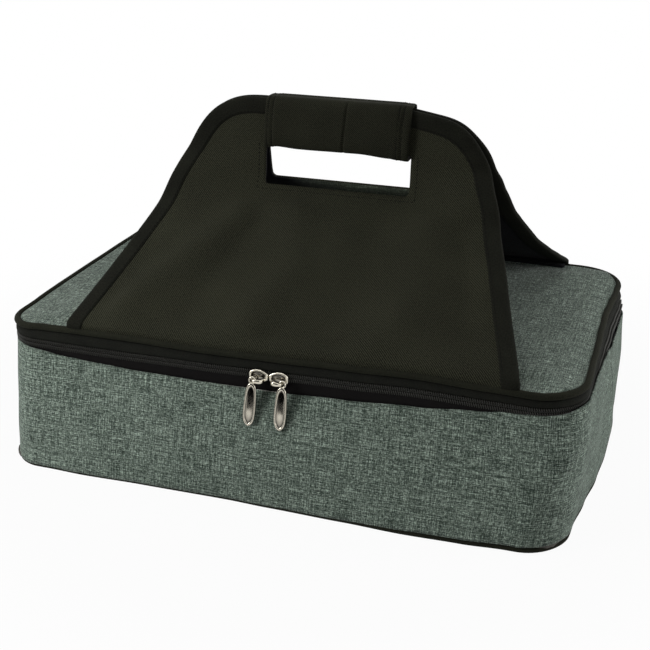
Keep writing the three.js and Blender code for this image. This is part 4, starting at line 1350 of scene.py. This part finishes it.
def addHem(name, side, node):
    low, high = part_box(node)
    high.x -= handleSlack[side]["baseIn"] * hem["drawn"]
    rows = len(hem["turns"]) - 1
    outer = low.y if side < 0 else high.y
    middle, half = (low.x + high.x) / 2, (high.x - low.x) / 2

    def lay(across, up):
        inwards, z = hem["turns"][round((up + 1) / 2 * rows)]
        spot = Vector((middle + across * half, outer - side * inwards * mm, z * mm))
        spot.z += soften(Vector((spot.x, 0, 0)), *hem["wander"]) + lidWave("lid", spot)
        return spot

    bm = layGrid(hem["columns"], rows, lay, lambda spot: (spot.x * half, spot.y * hem["flatHalf"]))
    obj = addPiece(name, bm, "lining", "lid", [node])
    thicken(obj, hem["thickness"], 0)


addHandle("front", -1)
addHandle("rear", 1)
print("handles ready")

# padded grip: a wrapped half on each handle, hemmed at its ends

grip = {
    "middle": 8.5 * mm, "half": 53 * mm, "thick": 11 * mm, "pocket": 5.6 * mm, "midGap": 0.15 * mm,
    "top": 251 * mm, "bottom": 212.5 * mm, "pocketTop": 249.3 * mm, "pocketBottom": 215.8 * mm,
    "skew": 1.4 * mm, "hem": 7 * mm, "hemDrop": 0.6 * mm, "hemLow": 0.25 * mm, "hemFade": 0.8 * mm,
    "endRound": 1.6 * mm,
    "endThin": 0.7 * mm, "endLow": 0.5 * mm, "slim": 0.9 * mm, "swell": 0.6 * mm, "clear": 0.4 * mm,
    "seamTop": 7.4 * mm, "seamBottom": 6.1 * mm, "seamDepth": 1.3 * mm, "seamWidth": 0.75 * mm,
    "stitchDepth": 0.5 * mm, "stitchRows": {-1: (2.2 * mm, 5.8 * mm), 1: (5.0 * mm, 8.2 * mm)},
    "stitchLength": 1.7 * mm, "stitchThick": 0.36 * mm, "stitchOut": 0.05 * mm,
    "dent": (0.5 * mm, 0.016, 8.3), "stations": 160, "turns": 26, "flatPower": 0.42, "highPower": 0.62,
}


# the half grip's section as (out, z): down its round face, then back up round the bar's pocket
def gripSection(g, x, side):
    end = min(max((g["half"] - abs(x)) / g["endRound"], 0), 1)
    hemmed = ease((abs(x) - g["half"] + g["hem"]) / g["hemFade"])
    swell = g["swell"] * math.cos(x / g["half"] * math.pi / 2) - hemmed * g["hemDrop"]
    thick = g["thick"] - g["slim"] + swell - g["endThin"] * (1 - end)
    top = g["top"] - g["endLow"] * (1 - end) - hemmed * g["hemLow"]
    bottom = g["bottom"] + g["clear"] + waveAt("gripEdge", x)
    middle, tall = (top + bottom) / 2, (top - bottom) / 2
    section = []
    for t in steps(0, 1, g["turns"]):
        turn = math.pi / 2 - t * math.pi
        flat = abs(math.cos(turn)) ** g["flatPower"]
        high = math.copysign(abs(math.sin(turn)) ** g["highPower"], math.sin(turn))
        z = middle + tall * high
        seam = g["seamBottom"] + (g["seamTop"] - g["seamBottom"]) * (high + 1) / 2
        grooves = [(x - seam, g["seamDepth"])] if side < 0 else []
        stitched = g["stitchRows"][1 if x > 0 else -1]
        grooves += [(g["half"] - abs(x) - row, g["stitchDepth"]) for row in stitched]
        sunk = sum(depth * math.exp(-(away / g["seamWidth"]) ** 2) for away, depth in grooves)
        out = g["midGap"] + (thick - g["midGap"]) * flat - sunk * min(flat * 1.2, 1)
        out += soften(Vector((x, z, side)), *g["dent"]) * min(flat, 1)
        section.append((max(out, g["midGap"]), z))
    low, high = g["pocketBottom"], g["pocketTop"]
    section += [(g["midGap"], low)] + [(g["pocket"], z) for z in (low, (low + high) / 2, high)]
    return section + [(g["midGap"], high)]


def onGrip(x, side, out, z):
    lean = grip["skew"] * (2 * z - grip["top"] - grip["bottom"]) / (grip["top"] - grip["bottom"])
    return Vector((grip["middle"] + x + lean, side * out, z))


def addGrip(name, side, node):
    g = grip
    stations = steps(-g["half"], g["half"], g["stations"])
    rings = [[onGrip(x, side, *spot) for spot in gripSection(g, x, side)] for x in stations]
    bm = loftRings(rings, capFirst=True, capLast=True)
    middle = (g["top"] + g["bottom"]) / 2
    setCloth(bm, lambda p: (p.x, p.z + math.copysign(g["thick"] - abs(p.y), p.z - middle)))
    obj = addPiece(name, bm, "gripTwill", handleBody[side], [node])
    rows = []
    for end, insets in g["stitchRows"].items():
        for x in [end * (g["half"] - inset) for inset in insets]:
            section = gripSection(g, x, side)[1:g["turns"]]
            spots = [onGrip(x, side, out + g["stitchOut"], z) for out, z in section]
            rows.append([((a + b) / 2, b - a, Vector((0, side, 0))) for a, b in zip(spots, spots[1:])])
    addStitches(f"{name}_stitches", rows, handleBody[side], g["stitchLength"], g["stitchThick"])


strip = {
    "rows": 9, "columns": 60, "pile": 0.28 * mm, "pileScale": 900, "clear": 0.1 * mm, "thickness": 0.6 * mm,
}


# hook or loop tape between the two halves: a woven strip with a short pile on its face
def addStrip(name, side, node):
    low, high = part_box(node)
    middle, half = (low + high) / 2, (high - low) / 2
    back = high.y if side < 0 else low.y

    def lay(across, up):
        spot = Vector((middle.x + across * half.x, 0, middle.z + up * half.z))
        pile = strip["pile"] * (noise.noise(spot * strip["pileScale"]) + 1) / 2
        spot.y = back + side * (strip["clear"] + pile)
        return spot

    bm = layGrid(strip["columns"], strip["rows"], lay)
    obj = addPiece(name, bm, "hook", handleBody[side], [node])
    thicken(obj, strip["thickness"], 0)


addGrip("front_grip", -1, "front_grip_pad")
addGrip("rear_grip", 1, "rear_grip_pad")
addStrip("front_hooks", -1, "front_hook_strip")
addStrip("rear_loops", 1, "rear_loop_strip")
print("grip ready")

# sliders and pulls, cast with rounded edges; each outline runs out from the nose, or down from the eye
slider = {
    "gap": 0.3 * mm, "parting": 90.3 * mm, "length": 13.6 * mm,
    "halves": [(0, 2.0), (0.05, 2.5), (0.2, 3.7), (0.4, 4.6), (0.6, 4.7), (0.78, 4.3), (0.92, 3.4),
               (0.98, 2.6), (1, 1.9)],
    "plate": [(0.2, -121.9), (0.93, -121.9), (1.0, -122.3), (1.0, -123.0), (0.97, -123.5), (0.9, -123.85),
              (0.8, -123.9), (0.73, -123.7), (0.67, -123.2), (0.5, -123.1), (0.3, -123.3), (0.06, -123.4)],
    # face plate rows darkened as painted shade in the recess
    "paintedShade": {7: 0.3, 8: 1, 9: 0.9, 10: 0.6, 11: 0.5},
    "backPlate": [(0.1, -117.8), (0.85, -117.8), (0.9, -118.1), (0.85, -118.5), (0.1, -118.5)],
    "postSize": (2.4 * mm, 3.6 * mm, 1.0 * mm, 1), "postOut": 2 * mm, "postDepth": -120.2 * mm,
}
bail = {
    "line": [(2.9, -123.3), (2.9, -125.8), (3.3, -127.4), (4.6, -128.1), (6.8, -128.2), (9.0, -128.1),
             (10.3, -127.4), (10.7, -125.8), (10.7, -123.3)],
    "halfThick": 0.55 * mm, "halfWidths": [0.75, 0.95, 1.25, 1.45, 1.5, 1.25, 0.75, 0.6, 0.6],
    "height": 88.2 * mm, "sides": 12,
}
pull = {
    "eyeOut": 10.7 * mm, "eye": Vector((0, -124.85, 87.6)) * mm, "tilt": math.radians(9.4), "thick": 1.9 * mm,
    "leaf": [(1.9, 0), (2.1, 1.3), (2.8, 2.3), (4, 3.0), (6.5, 3.6), (11, 4.05), (17, 4.3), (22.5, 4.35),
             (27, 4.0), (29.8, 3.1), (31.3, 1.9), (31.9, 0.9), (32.05, 0)],
    "layers": [(0.45, 0), (0.12, 0.25), (0, 0.6), (0, 1.3), (0.12, 1.65), (0.45, 1.9), (0.95, 1.88),
               (1.2, 1.7), (1.45, 1.3)],
    # rows of the pull's outer edge and round its sunk field, darkened as painted dark reflection and painted
    # shade
    "paintedShade": {2: 0.8, 3: 0.85, 4: 0.85, 5: 0.75, 6: 0.45, 9: 0.4, 10: 1, 11: 0.8, 12: 0.5, 13: 0.2},
    "backShares": (0.1, 0.6), "domeShares": (0.94, 0.8, 0.6, 0.4, 0.2, 0.06), "dome": 0.42,
    "ringRadius": 2.1 * mm, "ringThick": 0.68 * mm, "leans": {-1: math.radians(3.4), 1: math.radians(1.6)},
    "sunkFrom": 0.9, "sunkDrop": 1.6, "narrowest": 0.1,
}


# shares from 0 to 1, closer together near both ends
def roundShares(count):
    return [(1 - math.cos(math.pi * t)) / 2 for t in steps(0, 1, count)]


def shieldRing(s, way, scale, depth):
    shares = roundShares(18)
    ring = []
    for share, up in [(share, 1) for share in shares] + [(share, -1) for share in reversed(shares)]:
        out = s["length"] * (0.5 + (share - 0.5) * scale)
        high = tableAt(s["halves"], share) * mm * scale * up
        ring.append(Vector((way * (s["gap"] + out), depth * mm, s["parting"] + high)))
    return ring


def joinMesh(bm, other):
    mesh = bpy.data.meshes.new("part")
    other.to_mesh(mesh)
    other.free()
    bm.from_mesh(mesh)
    bpy.data.meshes.remove(mesh)


# painted shade in the slider's recess and painted dark reflection on the pull's edges, set by row of rings
def markPaintedShade(bm, shares):
    row = bm.verts.layers.int["row"]
    paintedShade = bm.verts.layers.float.new("paintedShade")
    for vert in bm.verts:
        vert[paintedShade] = shares.get(vert[row], 0.0)


# face plate with a sunk middle, back plate, and the post between them
def addSlider(name, way):
    s = slider
    bm, back = [loftRings([shieldRing(s, way, *level) for level in s[plate]], capFirst=True, capLast=True)
                for plate in ("plate", "backPlate")]
    markPaintedShade(bm, s["paintedShade"])
    joinMesh(bm, back)
    place = Matrix.Translation((way * (s["gap"] + s["postOut"]), s["postDepth"], s["parting"]))
    bmesh.ops.create_cube(bm, size=1, matrix=place @ Matrix.Diagonal(s["postSize"]))
    addPiece(f"{name}_slider", bm, "nickel", f"{name}_slider", [f"{name}_slider_body"])


# a strap bent over the face plate: an oval section carried along its line
def addBail(name, way):
    b = bail
    line = [Vector((way * x, y)) * mm for x, y in b["line"]]
    rings = []
    for index, spot in enumerate(line):
        heading = (line[min(index + 1, len(line) - 1)] - line[max(index - 1, 0)]).normalized()
        out = Vector((heading.y, -heading.x)) * b["halfThick"]
        half = b["halfWidths"][index] * mm
        ring = []
        for turn in [side / b["sides"] * 2 * math.pi for side in range(b["sides"])]:
            flat = spot + out * math.cos(turn)
            ring.append(Vector((flat.x, flat.y, b["height"] + half * math.sin(turn))))
        rings.append(ring)
    bm = loftRings(rings, capFirst=True, capLast=True)
    obj = addPiece(f"{name}_bail", bm, "nickel", f"{name}_slider", [f"{name}_slider_bail"])
    rounded = obj.modifiers.new("subsurf", "SUBSURF")
    rounded.levels = rounded.render_levels = 1


def leafRing(p, inset, depth, scale=1.0):
    top, tip = p["leaf"][0][0], p["leaf"][-1][0]
    shares = roundShares(22)
    low = top + inset * (p["sunkDrop"] if inset > p["sunkFrom"] else 1)
    high = tip - inset
    middle = (low + high) / 2
    ring = []
    for share, side in [(t, 1) for t in shares] + [(t, -1) for t in reversed(shares[1:-1])]:
        down = middle + (low + (high - low) * share - middle) * scale
        half = tableAt(p["leaf"], top + (tip - top) * share)
        wide = max(half - inset, half * p["narrowest"]) * scale
        ring.append(Vector((side * wide, -depth, -down)) * mm)
    return ring


# a leaf with a raised rim and a domed middle, hung by a ring round the bail's leg
def addPull(name, way):
    p = pull
    rings = [leafRing(p, *p["layers"][0], scale) for scale in p["backShares"]]
    rings += [leafRing(p, *layer) for layer in p["layers"]]
    inset, depth = p["layers"][-1]
    rings += [leafRing(p, inset, depth + p["dome"] * (1 - scale ** 2), scale) for scale in p["domeShares"]]
    bm = loftRings(rings, capFirst=True, capLast=True)
    markPaintedShade(bm, p["paintedShade"])
    loop = bmesh.new()
    middle = Vector((0, -p["thick"] / 2, 0))
    place = Matrix.Translation(middle + Vector((p["ringRadius"], 0, 0)))
    bmesh.ops.create_circle(loop, segments=10, radius=p["ringThick"], matrix=place)
    bmesh.ops.spin(loop, geom=loop.verts[:] + loop.edges[:], cent=middle, axis=(0, 1, 0), angle=2 * math.pi,
                   steps=28, use_merge=True)
    bmesh.ops.remove_doubles(loop, verts=loop.verts, dist=1e-6)
    bmesh.ops.recalc_face_normals(loop, faces=loop.faces)
    joinMesh(bm, loop)
    hang = Matrix.Translation(p["eye"] + Vector((way * p["eyeOut"], 0, 0)))
    turn = Matrix.Rotation(p["leans"][way], 4, "Y") @ Matrix.Rotation(-p["tilt"], 4, "X")
    bmesh.ops.transform(bm, matrix=hang @ turn, verts=bm.verts)
    addPiece(f"{name}_pull_leaf", bm, "nickel", f"{name}_pull", [f"{name}_zip_pull"])


for name, way in (("left", -1), ("right", 1)):
    addSlider(name, way)
    addBail(name, way)
    addPull(name, way)
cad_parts["bottom_board"].data.materials.clear()
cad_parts["bottom_board"].data.materials.append(looks["board"])
print("sliders ready")


def corners(bounds):
    return [[float(value) for value in corner] for corner in bounds]


{"cad": corners(cadBox), "visual": corners(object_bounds())}
